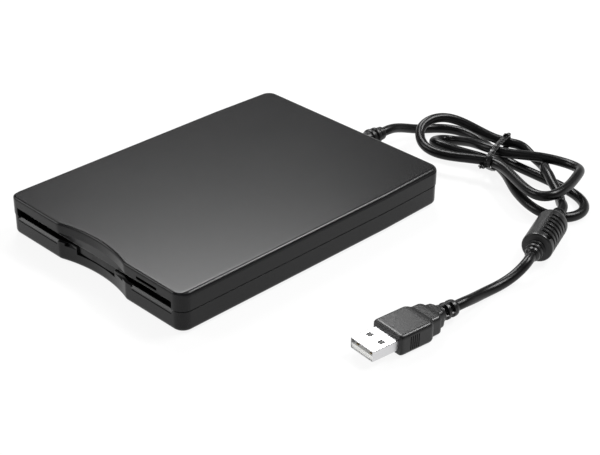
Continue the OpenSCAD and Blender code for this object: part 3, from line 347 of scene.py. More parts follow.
def smoothPath(points, spacing):
    # natural cubic through the points, with the distance along them as its parameter
    p = np.asarray(points, float)
    t = distances(p)
    h, n = np.diff(t), len(p)
    a, b, k = np.eye(n), np.zeros((n, 3)), np.arange(1, n - 1)
    a[k, k - 1], a[k, k], a[k, k + 1] = h[:-1], 2 * (h[:-1] + h[1:]), h[1:]
    b[1:-1] = 6 * np.diff(np.diff(p, axis=0) / h[:, None], axis=0)
    m = np.linalg.solve(a, b)
    s = np.linspace(0, t[-1], int(round(t[-1] / spacing)) + 1)
    i = np.clip(np.searchsorted(t, s) - 1, 0, n - 2)
    u, v, w = (s - t[i])[:, None], (t[i + 1] - s)[:, None], h[i][:, None]
    return ((m[i] * v ** 3 + m[i + 1] * u ** 3) / (6 * w) + (p[i] / w - m[i] * w / 6) * v
            + (p[i + 1] / w - m[i + 1] * w / 6) * u)


def alongPath(path, profile):
    # the profile, [side, up] at each angle, carried along a path that never runs straight up
    t = unit(np.gradient(path, axis=0))
    side = unit(np.cross(t, [0, 0, 1]))
    up = np.cross(side, t)
    q = np.broadcast_to(profile, (len(path),) + np.shape(profile)[-2:])
    return (path[:, None] + q[..., :1] * side[:, None] + q[..., 1:] * up[:, None]).reshape(-1, 3)


def hankLoop(i, degrees):
    # one loop of the hank: out to its reach and back to the tie, with a belly on each run
    u = np.radians(degrees)
    lean, reach, outBelly, backBelly, roundness, lift, tilt = hank["loops"][i]
    leans = np.full(len(u), float(lean))
    turn = hank["turn"]
    if i > 0:
        w = easeInOut((degrees + turn) / (2 * turn))
        leans = np.where(degrees < turn, hank["loops"][i - 1][0] * (1 - w) + lean * w, leans)
    if i < len(hank["loops"]) - 1:
        w = easeInOut((180 - degrees + turn) / (2 * turn))
        leans = np.where(degrees > 180 - turn, hank["loops"][i + 1][0] * (1 - w) + lean * w, leans)
    a, m, side = np.radians(leans), easeInOut(degrees / 180)[:, None], 1 if i % 2 == 0 else -1
    p = np.array(hank["passes"][i]) * (1 - m) + np.array(hank["passes"][i + 1]) * m
    s = hank["soft"]
    soft = (np.hypot(np.sin(u), s) - s) / (np.hypot(1, s) - s)
    along = side * reach * np.sin(u)
    c = np.cos(u)
    belly = np.where(c > 0, outBelly, backBelly) * soft * np.sign(c) * np.abs(c) ** roundness
    across = p[:, 0] + side * 2 * belly
    z = p[:, 1] + (lift + tilt * c) * np.sin(u) ** 2
    return np.stack([hank["tie"][0] + along * np.cos(a) - across * np.sin(a),
                     hank["tie"][1] + along * np.sin(a) + across * np.cos(a), z], axis=1)


def inPlugFrame(points):
    # from the plug's own frame, +Y from its mouth towards the cord, to the object's frame
    turn = np.radians(plug["turn"])
    c, s = np.cos(turn), np.sin(turn)
    p = np.asarray(points, float)
    return np.stack([c * p[..., 0] - s * p[..., 1], s * p[..., 0] + c * p[..., 1], p[..., 2]],
                    axis=-1) + plug["mouth"]


def easeLine(line, spot, reach, shift, window):
    # near the spot the line moves by the shift and is then twice averaged over a short window;
    # the effect falls off as a bell curve, in which heights count half
    far = np.linalg.norm((line - spot) * [1, 1, 0.5], axis=1)
    near = np.exp(-(far / reach) ** 2)[:, None]
    line = line + near * shift
    half = int(window / cord["spacing"] / 2)
    weights = np.hanning(2 * half + 3)[1:-1]
    weights /= weights.sum()
    for _ in range(2):
        held = np.pad(line, ((half, half), (0, 0)), mode="edge")
        mean = np.stack([np.convolve(held[:, k], weights, "valid") for k in range(3)], axis=1)
        line = line + near * (mean - line)
    return line


def cordRoute():
    # the whole cord from the strain relief to the plug: lead, hank, link, through the bead, tail
    d, n, last = cord["diameter"], hank["rings"], len(hank["loops"]) - 1
    loops = np.concatenate([hankLoop(i, np.arange(n) * 180 / n) for i in range(last + 1)]
                           + [hankLoop(last, np.array([180.0]))])
    lean = np.radians([hank["loops"][0][0], hank["loops"][last][0]])
    into, out = [np.array([np.cos(a), np.sin(a), 0]) for a in lean]
    start, end = loops[0] - d * into, loops[-1] + d * out
    way, place = bead["way"], bead["place"]
    beadEnd = place + bead["end"] * way
    plugEnd = inPlugFrame([0, plug["end"], plug["middle"]])
    plugWay = inPlugFrame([0, 1, 0]) - plug["mouth"]
    line = smoothPath(np.concatenate([
        cord["lead"], [start - d * into, start], loops, [end, end + d * out], cord["link"],
        [place - d * way, place], [place + bead["middle"] * way, beadEnd, beadEnd + d * way],
        cord["tail"], [plugEnd + d * plugWay, plugEnd]]), cord["spacing"])
    for ease in cord["eases"]:
        line = easeLine(line, *ease)
    return line


route = cordRoute()
tubePoints = alongPath(route, circle(cord["sides"], cord["diameter"] / 2))
cordPiece = newPiece("cordJacket", tubePoints, stackFaces(len(route), cord["sides"]), "case",
                     "cord_jacket")
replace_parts(cordPiece, "cord_lead", "cord_hank", "cord_link", "cord_tail")


def knotProfile(knots, count):
    # radius at evenly spaced distances along [distance, radius] knots
    k = np.asarray(knots, float)
    x = np.linspace(k[0, 0], k[-1, 0], count)
    return x, np.interp(x, k[:, 0], k[:, 1])


def beadPiece():
    # radius as a function of the distance along the bead and the angle about it: a barrel with
    # sharp shoulders, ringed collars at both ends, grooves over its right half and one dimple
    b, r, dimple = bead["neck"], bead["radius"], bead["dimple"]
    e = b + bead["body"]
    x, radius = knotProfile(bead["rear"] + [[e + d, r - drop] for d, drop in bead["edge"]]
                            + [[e + d, value] for d, value in bead["collar"]], bead["rows"])
    degrees = np.linspace(-180, 180, bead["sides"], endpoint=False)
    middles = b + bead["grooveStart"] + np.arange(bead["grooves"])[:, None] * bead["groovePitch"]
    grooves = easeInOut((bead["grooveHalf"] - np.abs(x - middles)) / bead["grooveSoft"]).sum(axis=0)
    half = windowOf(degrees, *bead["grooveSpan"])
    surface = radius[:, None] - bead["grooveDepth"] * grooves[:, None] * half[None]
    hole = np.hypot(x[:, None] - b - dimple["along"],
                    np.radians(degrees[None] - dimple["angle"]) * r)
    surface -= dimple["depth"] * easeInOut((dimple["size"] - hole) / dimple["soft"])
    right, up = acrossAxis(bead["way"])
    a = np.radians(degrees)[:, None]
    spokes = np.sin(a) * up - np.cos(a) * right
    points = (bead["place"] + x[:, None, None] * bead["way"]) + surface[..., None] * spokes[None]
    return newPiece("ferriteSleeve", points.reshape(-1, 3), stackFaces(len(x), len(degrees)),
                    "case", "moulded_pvc", 50)


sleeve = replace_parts(beadPiece(), "ferrite_bead")

tie = {
    "width": 2.4,
    "thick": 0.55,
    "clear": 0.3,
    "bulge": 0.15,
    "ridge": {"foot": 0.45, "top": 0.2, "rise": 0.16},
    "ripple": 0.09,
    "rippleAbove": 2.5,
    "lean": (hank["loops"][2][0] + hank["loops"][3][0]) / 2,
    "reach": 20,
    "planes": [-1.3, 0, 1.3],
    "steps": 180,
    "wire": 0.75,
    "wireSides": 12,
    "wireShape": [1.25, 0.8],
    "wireApart": 0.55,
    "twistPitch": 2.6,
    "twistSpacing": 0.18,
    "lift": 0.15,
    "aside": [0.1, 0.2, 1],
    # each tail: which way it leaves the strip, and its line as [along, across, up] from there
    "tails": [
        {"towards": [0.35, 1], "line": [[0, 0, 0], [0.5, 0.3, 0.5], [0.9, -0.4, 0.8],
                                        [0.6, -1.2, 0.9], [-0.3, -1.5, 0.8], [-1.1, -1.1, 0.7]]},
        {"towards": [-1, -0.5], "line": [[0, 0, 0], [-0.8, -0.9, -0.2], [-1.9, -1.4, -0.5],
                                         [-2.9, -0.8, -0.6], [-2.9, 0.3, -0.4], [-2.0, 0.9, -0.2]]},
    ],
}


def tieFrame():
    # the waist's middle, the way along the hank and the way across it
    lean = np.radians(tie["lean"])
    return (np.array([*hank["tie"], 0]), np.array([np.cos(lean), np.sin(lean), 0]),
            np.array([-np.sin(lean), np.cos(lean), 0]))


def tieCuts(beyond):
    # where the cord crosses a plane across the waist: [across, height] of each strand
    origin, along, across = [v[:2] for v in tieFrame()]
    far = (route[:, :2] - origin) @ along - beyond
    side = (route[:, :2] - origin) @ across
    q = np.column_stack([side, route[:, 2]])
    i = np.flatnonzero((far[:-1] * far[1:] <= 0) & (np.abs(side[:-1]) < tie["reach"]))
    w = (far[i] / (far[i] - far[i + 1]))[:, None]
    return q[i] * (1 - w) + q[i + 1] * w


def hullOf(points):
    # convex outline of points in a plane, anticlockwise
    p = sorted(map(tuple, np.asarray(points, float).tolist()))
    loops = []
    for sequence in (p, p[::-1]):
        side = []
        for q in sequence:
            while len(side) > 1:
                a, b = np.subtract(side[-1], side[-2]), np.subtract(q, side[-2])
                if a[0] * b[1] - a[1] * b[0] > 0:
                    break
                side.pop()
            side.append(q)
        loops += side[:-1]
    return np.array(loops)


def tieLoop(count):
    # outline round the strands at the waist, [across, height], evenly spaced
    strands = np.concatenate([tieCuts(d) for d in tie["planes"]])
    r = cord["diameter"] / 2 + tie["clear"] + tie["thick"] / 2
    loop = hullOf((strands[:, None] + circle(48, r)[None]).reshape(-1, 2))
    loop = np.vstack([loop, loop[:1]])
    t = distances(loop)
    s = np.linspace(0, t[-1], count, endpoint=False)
    return np.stack([np.interp(s, t, loop[:, k]) for k in (0, 1)], axis=1)


def tieStrip(loop):
    # a flat strip with a wire's ridge along its middle, carried round the strands, and slightly
    # rippled by two sines where it is off the floor
    origin, along, across = tieFrame()
    t = unit(np.roll(loop, -1, 0) - np.roll(loop, 1, 0))
    path = origin + loop[:, :1] * across + loop[:, 1:] * upwards
    outward = t[:, 1:] * across - t[:, :1] * upwards
    w, h, bulge = tie["width"] / 2, tie["thick"] / 2, tie["bulge"]
    foot, top, rise = tie["ridge"]["foot"], tie["ridge"]["top"], tie["ridge"]["rise"]
    section = np.array([[-w, -h], [w, -h], [w + bulge, 0], [w, h], [foot, h], [top, h + rise],
                        [-top, h + rise], [-foot, h], [-w, h], [-w - bulge, 0]])
    k = np.arange(len(loop))
    waves = np.sin(k * 0.9) + np.sin(k * 0.37 + 1)
    ripple = tie["ripple"] * waves * (loop[:, 1] > tie["rippleAbove"])
    out = section[None, :, 1:] + ripple[:, None, None] * (section[None, :, 1:] > 0)
    ring = path[:, None] + section[None, :, :1] * along + out * outward[:, None]
    return ring.reshape(-1, 3), gridFaces(len(ring), len(section), closeRows=True)


def tieTwist(loop, tail):
    # two wires wound about a short curved line that leaves the strip and hooks over
    origin, along, across = tieFrame()
    begin = loop[np.argmax(loop @ tail["towards"])]
    start = origin + begin[0] * across + (begin[1] + tie["lift"]) * upwards
    steps = np.array(tail["line"])
    line = smoothPath(start + steps[:, :1] * along + steps[:, 1:2] * across
                      + steps[:, 2:] * upwards, tie["twistSpacing"])
    t = unit(np.gradient(line, axis=0))
    side = unit(np.cross(t, tie["aside"]))
    over = np.cross(side, t)
    s = distances(line)
    parts = []
    for phase in (0, np.pi):
        a = (2 * np.pi * s / tie["twistPitch"] + phase)[:, None]
        wire = line + tie["wireApart"] * tie["wire"] * (np.cos(a) * side + np.sin(a) * over)
        ring = alongPath(wire, circle(tie["wireSides"], tie["wire"] / 2) * tie["wireShape"])
        parts.append((ring, stackFaces(len(wire), tie["wireSides"])))
    return parts


waist = tieLoop(tie["steps"])
bandParts = [tieStrip(waist)] + [part for tail in tie["tails"] for part in tieTwist(waist, tail)]
bandPiece = newPiece("cordTieBand", *combine(bandParts), "case", "tie_plastic", 50)
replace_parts(bandPiece, "cord_tie")
print("bead and tie made")

case = {
    "length": 142,
    "width": 105,
    "height": 17,
    "cornerRadius": 5,
    "arcSteps": {"corner": 15, "fillet": 7, "recess": 43},
    "frontFacing": [0.25, 0.85],
    "topRounding": 2,
    "frontRounding": 1.05,
    "baseRounding": 1.7,
    "parting": 9.1,
    "taperLength": 33,
    "taper": 0.9,
    "baseInset": 0.25,
    "wall": 1.6,
    "roofUnder": 15.5,
    "floorTop": 1.9,
    "footGap": 0.4,
    "recessWidth": 40.5,
    "recessDepth": 3.3,
    "recessFillet": 5,
    "slotHalf": 47,
    "slotLow": 8.6,
    "slotTop": 12.8,
    "slotSpare": 1.6,
    "notch": [26.8, 39.6, 15.2],
    "window": [-30.7, -26.1, 14.0, 15.0],
    "relief": [2.5, 8.8, 3.55],
    "posts": [[44, 65], [-44, 65], [48.9, -64.06], [-48.9, -64.06]],
    "chassisPosts": [[32, -46.15], [-32, -46.15], [38, 56.05], [-38, 56.05]],
    "feet": [[43, 57.5], [-43, 57.5], [42, -59], [-42, -59]],
    # the groove where the covers meet, [inset, height] on each cover
    "topGroove": [0.35, 0.28],
    "baseGroove": [0.35, 0.3],
    "beforeRounding": 0.4,
    # [inset, below, above] the parting of the top's step and of the base's tongue inside it
    "step": [0.8, 1.2, 0.9],
    "tongue": [0.9, 0.9, 0.8],
    # room for the door's hinge: half width, then from the front and about the slot's top
    "hingeRoom": [24.05, [4.0, 6.8], [-0.3, 1.4]],
    "ribs": [[47.05, -68.1, 12.3], [48.45, -65.1]],
    # outer and inner radius
    "topPost": [1.6, 0.82],
    "basePost": [1.6, 0.9],
    "chassisPost": [3, 0.82],
    "chassisPostTop": 4.3,
    "sink": 0.05,
    # holes from below: start, length, radius and sides
    "headHole": [-1, 2.55, 1.45, 48],
    "footHole": [-1, 2, 4.55, 72],
    "screwHole": [1, 3, 0.9, 48],
    "topEdge": 0.13,
    "baseEdge": 0.104,
}
case["front"] = -case["length"] / 2
case["back"] = case["length"] / 2
lip = {
    "strips": [[-47.0, -21.2], [23.6, 47.0]],
    # each strip's chamfer, [y, z] from the lip's edge, and the thin groove below it
    "chamfer": [[-0.3, -1.1], [-0.3, 0.3], [1.1, 0.3]],
    "groove": {"ends": 0.4, "deep": 0.5, "z": [-1.65, -1.25]},
    # the ledge in the finger recess and the notch in its middle
    "ledge": {"half": 17.8, "back": -1.0, "z": [-1.2, 0.3]},
    "notch": {"x": [-12.0, 11.0], "foot": 5.5, "face": -67.58},
    "under": {"deep": 0.75, "z": [-0.05, 0.65]},
    "ridge": {"y": [0.02, 0.8], "z": [-0.5, 0.28]},
}


def arc(centre, radius, startAngle, endAngle, count):
    # evenly spaced points: the centre plus radius times [cos a, sin a]
    a = np.radians(np.linspace(startAngle, endAngle, count))
    return np.asarray(centre) + radius * np.stack([np.cos(a), np.sin(a)], axis=1)


def caseOutline(inset):
    # the case from above, anticlockwise: four corner arcs, the long arc of the finger recess with a
    # fillet at each end, and sides that lean in towards the back
    w, f, b, r = case["width"] / 2, case["front"], case["back"], case["cornerRadius"]
    depth, fillet, taper = case["recessDepth"], case["recessFillet"], case["taper"]
    big = (case["recessWidth"] ** 2 / 4 + depth ** 2) / (2 * depth)
    rise = big - depth + fillet
    x = np.sqrt((big + fillet) ** 2 - rise ** 2)
    turn, steps = np.degrees(np.arctan2(rise, x)), case["arcSteps"]
    return np.concatenate([
        arc([-w + r, f + r], r - inset, 180, 270, steps["corner"]),
        arc([-x, f + fillet], fillet - inset, 270, 360 - turn, steps["fillet"]),
        arc([0, f + depth - big], big + inset, 180 - turn, turn, steps["recess"])[1:-1],
        arc([x, f + fillet], fillet - inset, 180 + turn, 270, steps["fillet"]),
        arc([w - r, f + r], r - inset, 270, 360, steps["corner"]),
        [[w - inset, b - case["taperLength"]]],
        arc([w - taper - r, b - r], r - inset, 0, 90, steps["corner"]),
        arc([-w + taper + r, b - r], r - inset, 90, 180, steps["corner"]),
        [[-w + inset, b - case["taperLength"]]]])


def cornerEase():
    # 1 for outline points that face the front, 0 for those that face the sides or back
    step, (low, high) = caseOutline(1) - caseOutline(0), case["frontFacing"]
    return easeInOut((step[:, 1] - low) / (high - low))


def topRounding(count=11):
    # circular rounding whose radius eases from the side's to the front's round the corners:
    # inset r (1 - square root of (1 - u squared)), with u the share of r that has been climbed
    side, top = case["topRounding"], case["height"]
    radius = side + cornerEase() * (case["frontRounding"] - side)
    rings = []
    for height in top - side * (1 - np.sin(np.radians(np.linspace(0, 90, count)))):
        up = np.clip((height - top + radius) / radius, 0, 1)
        rings.append([radius * (1 - np.sqrt(1 - up ** 2)), height])
    return rings


def lowerRounding(radius, inset, z, count=9):
    # quarter round from a flat underside up to the side: inset r (1 - cos a), drop r sin a
    a = np.radians(np.linspace(90, 0, count))
    return [[inset + radius * (1 - np.cos(t)), z - radius * np.sin(t)] for t in a]


def stacked(rings):
    # the case's outline at each [inset, height], closed above and below
    flat, step = caseOutline(0), caseOutline(1) - caseOutline(0)
    outlines = [flat + np.reshape(inset * np.ones(len(flat)), (-1, 1)) * step for inset, z in rings]
    points = np.concatenate([np.column_stack([o, np.full(len(o), z)])
                             for o, (inset, z) in zip(outlines, rings)])
    return points, stackFaces(len(rings), len(outlines[0]))


def slab(inset, low, high):
    # the case's outline, set in, between two heights
    return stacked([[inset, low], [inset, high]])


def slotBox(low, high):
    # as wide as the slot, from before the case to behind the recess's wall
    half, front = case["slotHalf"], case["front"]
    deep = front + case["recessDepth"] + case["wall"] + case["slotSpare"]
    return boxMesh([-half, front - 1, low], [half, deep, high])


def reliefHole():
    # a rod through the back wall where the strain relief sits
    x, z, r = case["relief"]
    return plainRod([x, case["back"] - 4, z], [0, 1, 0], 8, r)


def holes(places, start, length, radius, sides):
    # an upright rod at each place
    return [plainRod([x, y, start], upwards, length, radius, sides) for x, y in places]


def posts(places, low, high, radii):
    # an upright tube of the outer and inner radius at each place
    (outer, inner), tall = radii, high - low
    wall = [[0, outer], [tall, outer], [tall, inner], [0, inner]]
    return [turned(wall, [x, y, low], upwards, 40) for x, y in places]


def topShellPiece():
    # outlines stacked up to a rounded roof and hollowed from below, then cut for the slot, the
    # button, the window, the cord and the door's hinge, with posts and two ribs inside; whatever
    # cuts reaches a little beyond the face it cuts
    p, h, r, wall = case["parting"], case["height"], case["topRounding"], case["wall"]
    front, roof, slotTop = case["front"], case["roofUnder"], case["slotTop"]
    inset, rise = case["topGroove"]
    rings = [[inset, p], [0, p + rise], [0, h - r - case["beforeRounding"]]]
    piece = newPiece("topShell", *stacked(rings + topRounding() + [[r + 1, h]]), "case",
                     "case_plastic")
    cut(piece, [slab(wall, p - 1, roof)])
    inset, below, above = case["step"]
    cut(piece, [slab(inset, p - below, p + above)])
    cut(piece, [slotBox(p - 2, slotTop)])
    deep = front + case["recessDepth"] + wall + 1
    left, right, top = case["notch"]
    x0, x1, z0, z1 = case["window"]
    cut(piece, [boxMesh([left, front - 1, slotTop - 0.5], [right, deep, top]),
                boxMesh([x0, front - 1, z0], [x1, deep, z1]), reliefHole()])
    half, (near, far), (below, above) = case["hingeRoom"]
    cut(piece, [boxMesh([-half, front + near, slotTop + below],
                        [half, front + far, slotTop + above])])
    softenEdges(piece, case["topEdge"])
    (x0, y0, low), (x1, y1) = case["ribs"]
    inRoof = roof + case["sink"]
    addLoose(piece, posts(case["posts"], p, inRoof, case["topPost"])
             + [boxMesh([s * x0, y0, low], [s * x1, y1, inRoof]) for s in (-1, 1)])
    return piece


def cutLip(piece):
    # below the slot: a chamfer and a thin groove at each side, and between them a ledge with a
    # notch, undercut at its foot, and a low ridge along its top
    low, outside = case["slotLow"], case["front"] - 0.5
    edge = case["front"] + case["baseInset"]
    cut(piece, [prismX(x0, x1, [[edge + y, low + z] for y, z in lip["chamfer"]])
                for x0, x1 in lip["strips"]])
    groove, ledge, under, ridge = lip["groove"], lip["ledge"], lip["under"], lip["ridge"]
    cut(piece, [boxMesh([x0 + groove["ends"], outside, low + groove["z"][0]],
                        [x1 - groove["ends"], edge + groove["deep"], low + groove["z"][1]])
                for x0, x1 in lip["strips"]])
    (left, right), foot, face = lip["notch"]["x"], lip["notch"]["foot"], lip["notch"]["face"]
    cut(piece, [boxMesh([-ledge["half"], outside, low + ledge["z"][0]],
                        [ledge["half"], face + ledge["back"], low + ledge["z"][1]])])
    cut(piece, [boxMesh([left, outside, foot], [right, face, low + 0.5])])
    cut(piece, [boxMesh([left, outside, foot + under["z"][0]],
                        [right, face + under["deep"], foot + under["z"][1]])])
    cut(piece, [boxMesh([left, face + ridge["y"][0], low + ridge["z"][0]],
                        [right, face + ridge["y"][1], low + ridge["z"][1]])], "UNION")


def baseShellPiece():
    # outlines stacked up from a rounded underside, with a tongue round the top, hollowed from
    # above, then cut for the slot, the cord, the lip, the feet and the screws, with posts inside
    p, f, r, i = case["parting"], case["footGap"], case["baseRounding"], case["baseInset"]
    inset, drop = case["baseGroove"]
    rings = [[i, f + r + case["beforeRounding"]], [i, p - drop], [i + inset, p]]
    piece = newPiece("baseShell", *stacked([[i + r + 1, f]] + lowerRounding(r, i, f + r) + rings),
                     "case", "case_plastic")
    inset, below, above = case["tongue"]
    cut(piece, [slab(inset, p - below, p + above)], "UNION")
    cut(piece, [slab(case["wall"], case["floorTop"], p + 2)])
    cut(piece, [slotBox(case["slotLow"], p + 3)])
    cut(piece, [reliefHole()])
    cutLip(piece)
    cut(piece, holes(case["posts"], *case["headHole"]) + holes(case["feet"], *case["footHole"]))
    cut(piece, holes(case["posts"], *case["screwHole"]))
    softenEdges(piece, case["baseEdge"])
    floor = case["floorTop"] - case["sink"]
    addLoose(piece, posts(case["posts"], floor, p - case["sink"], case["basePost"])
             + posts(case["chassisPosts"], floor, case["chassisPostTop"], case["chassisPost"]))
    return piece


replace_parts(flatNormals(topShellPiece()), "top_cover")
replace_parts(flatNormals(baseShellPiece()), "bottom_cover")
print("covers made")

button = {"left": 27.0, "right": 39.4, "low": 13.05, "high": 15.0, "front": -71, "back": -68,
          "corner": 0.45, "crown": 0.36, "stem": [28.4, 38.0], "arm": [33.2, 46.5],
          "stemLow": 14.1, "armFront": -57.95, "slide": -53.95}
relief = {
    "x": 2.5,
    "z": 8.8,
    "wall": 69.4,
    "out": 71.05,
    "end": 88,
    "rows": 260,
    "sides": 56,
    # [distance, radius] about the wall, about its outer face and back from the end
    "flange": [[-1.8, 4.6], [-0.05, 4.6], [0.05, 3.5]],
    "collar": [[-0.1, 3.5], [0, 4.2], [0.2, 4.4], [1.1, 4.4], [1.5, 3.55], [3, 3.4]],
    "taper": [[-8.7, 3.35], [-8.4, 3.5], [-8.1, 3.9], [-7.7, 4.0], [-6.8, 4.0], [-6.5, 3.7],
              [-6.3, 2.95], [-5.3, 2.9], [-5.1, 3.5], [-4.8, 3.7], [-3.8, 3.7], [-3.5, 3.5],
              [-3.3, 2.85], [-2.4, 2.8], [-2.2, 3.05], [-0.4, 2.95], [-0.15, 2.8], [0, 2.4]],
}
feet = {"radius": 4.5, "height": 1.0, "round": 0.35, "pin": 0.02, "sides": 64}


def roundedSection(halfWidth, halfHeight, corner, perCorner):
    # a rounded rectangle for each row of sizes: four corner arcs joined by straight sides
    w, h, r = [np.asarray(v, float)[:, None] for v in (halfWidth, halfHeight, corner)]
    a = np.radians(np.add.outer([0, 90, 180, 270], np.linspace(0, 90, perCorner)).ravel())
    sx = np.repeat([1, -1, -1, 1], perCorner)
    sz = np.repeat([1, 1, -1, -1], perCorner)
    return np.stack([sx * (w - r) + r * np.cos(a), sz * (h - r) + r * np.sin(a)], axis=-1)


def alongY(y, sections, middle):
    # each [across, up] section about the middle, set at its own distance along Y
    rings = np.stack([middle[0] + sections[..., 0],
                      np.broadcast_to(y[:, None], sections.shape[:2]),
                      middle[1] + sections[..., 1]], axis=-1)
    return rings.reshape(-1, 3)


def buttonPiece():
    # the bar that shows, crowned by a quarter round at its front, and its stem and arm back to
    # the slide
    b, crown = button, button["crown"]
    a = np.radians(np.linspace(90, 0, 7))
    y = np.append(b["front"] + crown * (1 - np.sin(a)), b["back"])
    drop = np.append(crown * (1 - np.cos(a)), 0)
    q = roundedSection((b["right"] - b["left"]) / 2 - drop, (b["high"] - b["low"]) / 2 - drop,
                       np.full(len(y), b["corner"]), 9)
    middle = ((b["left"] + b["right"]) / 2, (b["low"] + b["high"]) / 2)
    (x0, x1), (x2, x3), low, high = b["stem"], b["arm"], b["stemLow"], b["high"]
    parts = [(alongY(y, q, middle), stackFaces(*q.shape[:2])),
             boxMesh([x0, b["back"] - 0.5, low], [x1, b["slide"], high]),
             boxMesh([x2, b["armFront"], low], [x3, b["slide"], high])]
    return newPiece("ejectBar", *combine(parts), "eject_slide", "button_plastic", 30)


def reliefPiece():
    # a turned body: a flange inside the wall, a collar outside it, and a taper with two soft rings
    parts = (("wall", "flange"), ("out", "collar"), ("end", "taper"))
    knots = [[relief[start] + d, radius] for start, part in parts for d, radius in relief[part]]
    y, radius = knotProfile(knots, relief["rows"])
    q = radius[:, None, None] * circle(relief["sides"])
    return newPiece("cordRelief", alongY(y, q, (relief["x"], relief["z"])),
                    stackFaces(*q.shape[:2]), "case", "moulded_pvc", 50)


def footPieces():
    # each foot is a low disc with a rounded lower edge, seated in its pocket
    r, h, e, pin = feet["radius"], feet["height"], feet["round"], feet["pin"]
    a = np.radians(np.linspace(90, 0, 6))
    edge = [[e * (1 - np.sin(t)), r - e * (1 - np.cos(t))] for t in a]
    profile = [[0, pin]] + edge + [[h, r], [h, pin]]
    parts = [turned(profile, [x, y, 0], upwards, feet["sides"]) for x, y in case["feet"]]
    return newPiece("footPads", *combine(parts), "case", "foot_rubber")


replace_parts(flatNormals(buttonPiece()), "eject_button")
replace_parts(reliefPiece(), "strain_relief")
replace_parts(flatNormals(footPieces()), "rubber_feet")
print("button, relief and feet made")

gripShape = {
    "knots": [[11.8, 7.1, 3.55, 1.3], [11.9, 7.35, 3.8, 1.4], [12.15, 7.6, 4.05, 1.5],
              [12.6, 7.75, 4.2, 1.6], [13.2, 7.8, 4.25, 1.6], [25.6, 7.8, 4.25, 1.6],
              [26.4, 7.75, 4.22, 1.7], [27.1, 7.5, 4.18, 1.9], [27.6, 7.1, 4.12, 2.0],
              [28.0, 6.6, 4.05, 1.9], [28.4, 6.35, 4.0, 1.7], [31.6, 6.25, 3.95, 1.6],
              [32.3, 6.1, 3.9, 1.7], [32.8, 5.6, 3.85, 1.8], [33.1, 4.8, 3.75, 1.8],
              [33.5, 4.55, 3.7, 1.8], [35.4, 4.4, 3.65, 2.0], [35.9, 4.1, 3.6, 2.5],
              [36.3, 3.7, 3.5, 3.2], [36.6, 3.5, 3.45, 3.4], [37.4, 3.35, 3.35, 3.3],
              [43.6, 3.3, 3.3, 3.3], [44.3, 3.1, 3.1, 3.1], [44.9, 2.6, 2.6, 2.6],
              [45.3, 2.3, 2.3, 2.3]],
    "rows": [[11.8, 28, 60], [28, 45.3, 190]],
    "perCorner": 14,
    "slots": [38.5, 41.5],
    "slotWidth": 1.7,
    "slotDepth": 1.2,
    "slotSoft": 0.24,
    "webs": [8, 78, 6],
    "pocket": [10, 18],
    "pocketGap": 0.02,
    "ribs": [16.3, 17.25, 18.2, 19.15, 20.1],
    "ribHalf": 0.24,
    "ribX": [7.4, 9],
    "ribZ": [1.5, 7.0],
}
# the last three entries size the dark plates of painted shade that sit in the shell's windows
shellShape = {"halfWidth": 6.0, "halfHeight": 2.25, "wall": 0.3, "corner": 0.55,
              "leastCorner": 0.25, "length": 17.8, "lead": 0.12, "mouthInset": 0.2,
              "edge": 0.05, "edgeFrom": 40, "windows": [-3.1, 3.1], "windowY": [5.2, 7.5],
              "windowHalf": 1.1, "shadePlateGap": 0.04, "shadePlateDrop": 0.2, "shadePlateThick": 0.16}


def plugBox(low, high):
    # a box given in the plug's own frame
    points, faces = boxMesh(low, high)
    return inPlugFrame(points), faces


def gripPiece():
    # rounded rectangles of changing size along the plug: three blocks with soft shoulders, then a
    # round relief whose two rows of slots leave a web above, below and at each side
    g, s, level = gripShape, shellShape, plug["middle"]
    k = np.asarray(g["knots"], float)
    y = np.unique(np.concatenate([np.linspace(*row) for row in g["rows"]] + [k[:, 0]]))
    w, h, r = [np.interp(y, k[:, 0], k[:, i]) for i in (1, 2, 3)]
    q = roundedSection(w, h, r, g["perCorner"])
    angle = np.degrees(np.arctan2(q[..., 1], np.abs(q[..., 0])))
    soft = g["slotSoft"]
    cutIn = sum(easeInOut((g["slotWidth"] / 2 + soft / 2 - np.abs(y - middle)) / soft)
                for middle in g["slots"])
    near, far, webSoft = g["webs"]
    webs = windowOf(angle, near, far, webSoft) + windowOf(angle, -far, -near, webSoft)
    scale = 1 - g["slotDepth"] * (cutIn[:, None] * webs) / np.hypot(q[..., 0], q[..., 1])
    points = alongY(y, q * scale[..., None], (0, level))
    piece = newPiece("gripBody", inPlugFrame(points), stackFaces(*q.shape[:2]), "case",
                     "moulded_pvc")
    x, z = s["halfWidth"] + g["pocketGap"], s["halfHeight"] + g["pocketGap"]
    cut(piece, [plugBox([-x, g["pocket"][0], level - z], [x, g["pocket"][1], level + z])])
    (inner, outer), (low, high), half = g["ribX"], g["ribZ"], g["ribHalf"]
    cut(piece, [plugBox([side * inner, middle - half, low], [side * outer, middle + half, high])
                for side in (-1, 1) for middle in g["ribs"]])
    shadeSmooth(piece.data, shading["smooth"])
    return piece


def shellPiece():
    # a folded metal tube of rounded rectangles, open at the mouth, with two windows above and below
    s, level = shellShape, plug["middle"]
    y, inset = np.array([[0, s["lead"]], [s["lead"], 0], [s["length"], 0],
                         [s["length"], s["wall"]], [0, s["wall"]], [0, s["mouthInset"]]]).T
    q = roundedSection(s["halfWidth"] - inset, s["halfHeight"] - inset,
                       np.maximum(s["corner"] - inset, s["leastCorner"]), 7)
    piece = newPiece("plugTube", inPlugFrame(alongY(y, q, (0, level))),
                     gridFaces(*q.shape[:2], closeRows=True), "case", "plug_metal", 30)
    half, (y0, y1) = s["windowHalf"], s["windowY"]
    cut(piece, [plugBox([x - half, y0, z0], [x + half, y1, z1]) for x in s["windows"]
                for z0, z1 in ((0.5, level - 1), (level + 1, 8))])
    softenEdges(piece, s["edge"], s["edgeFrom"])
    return piece


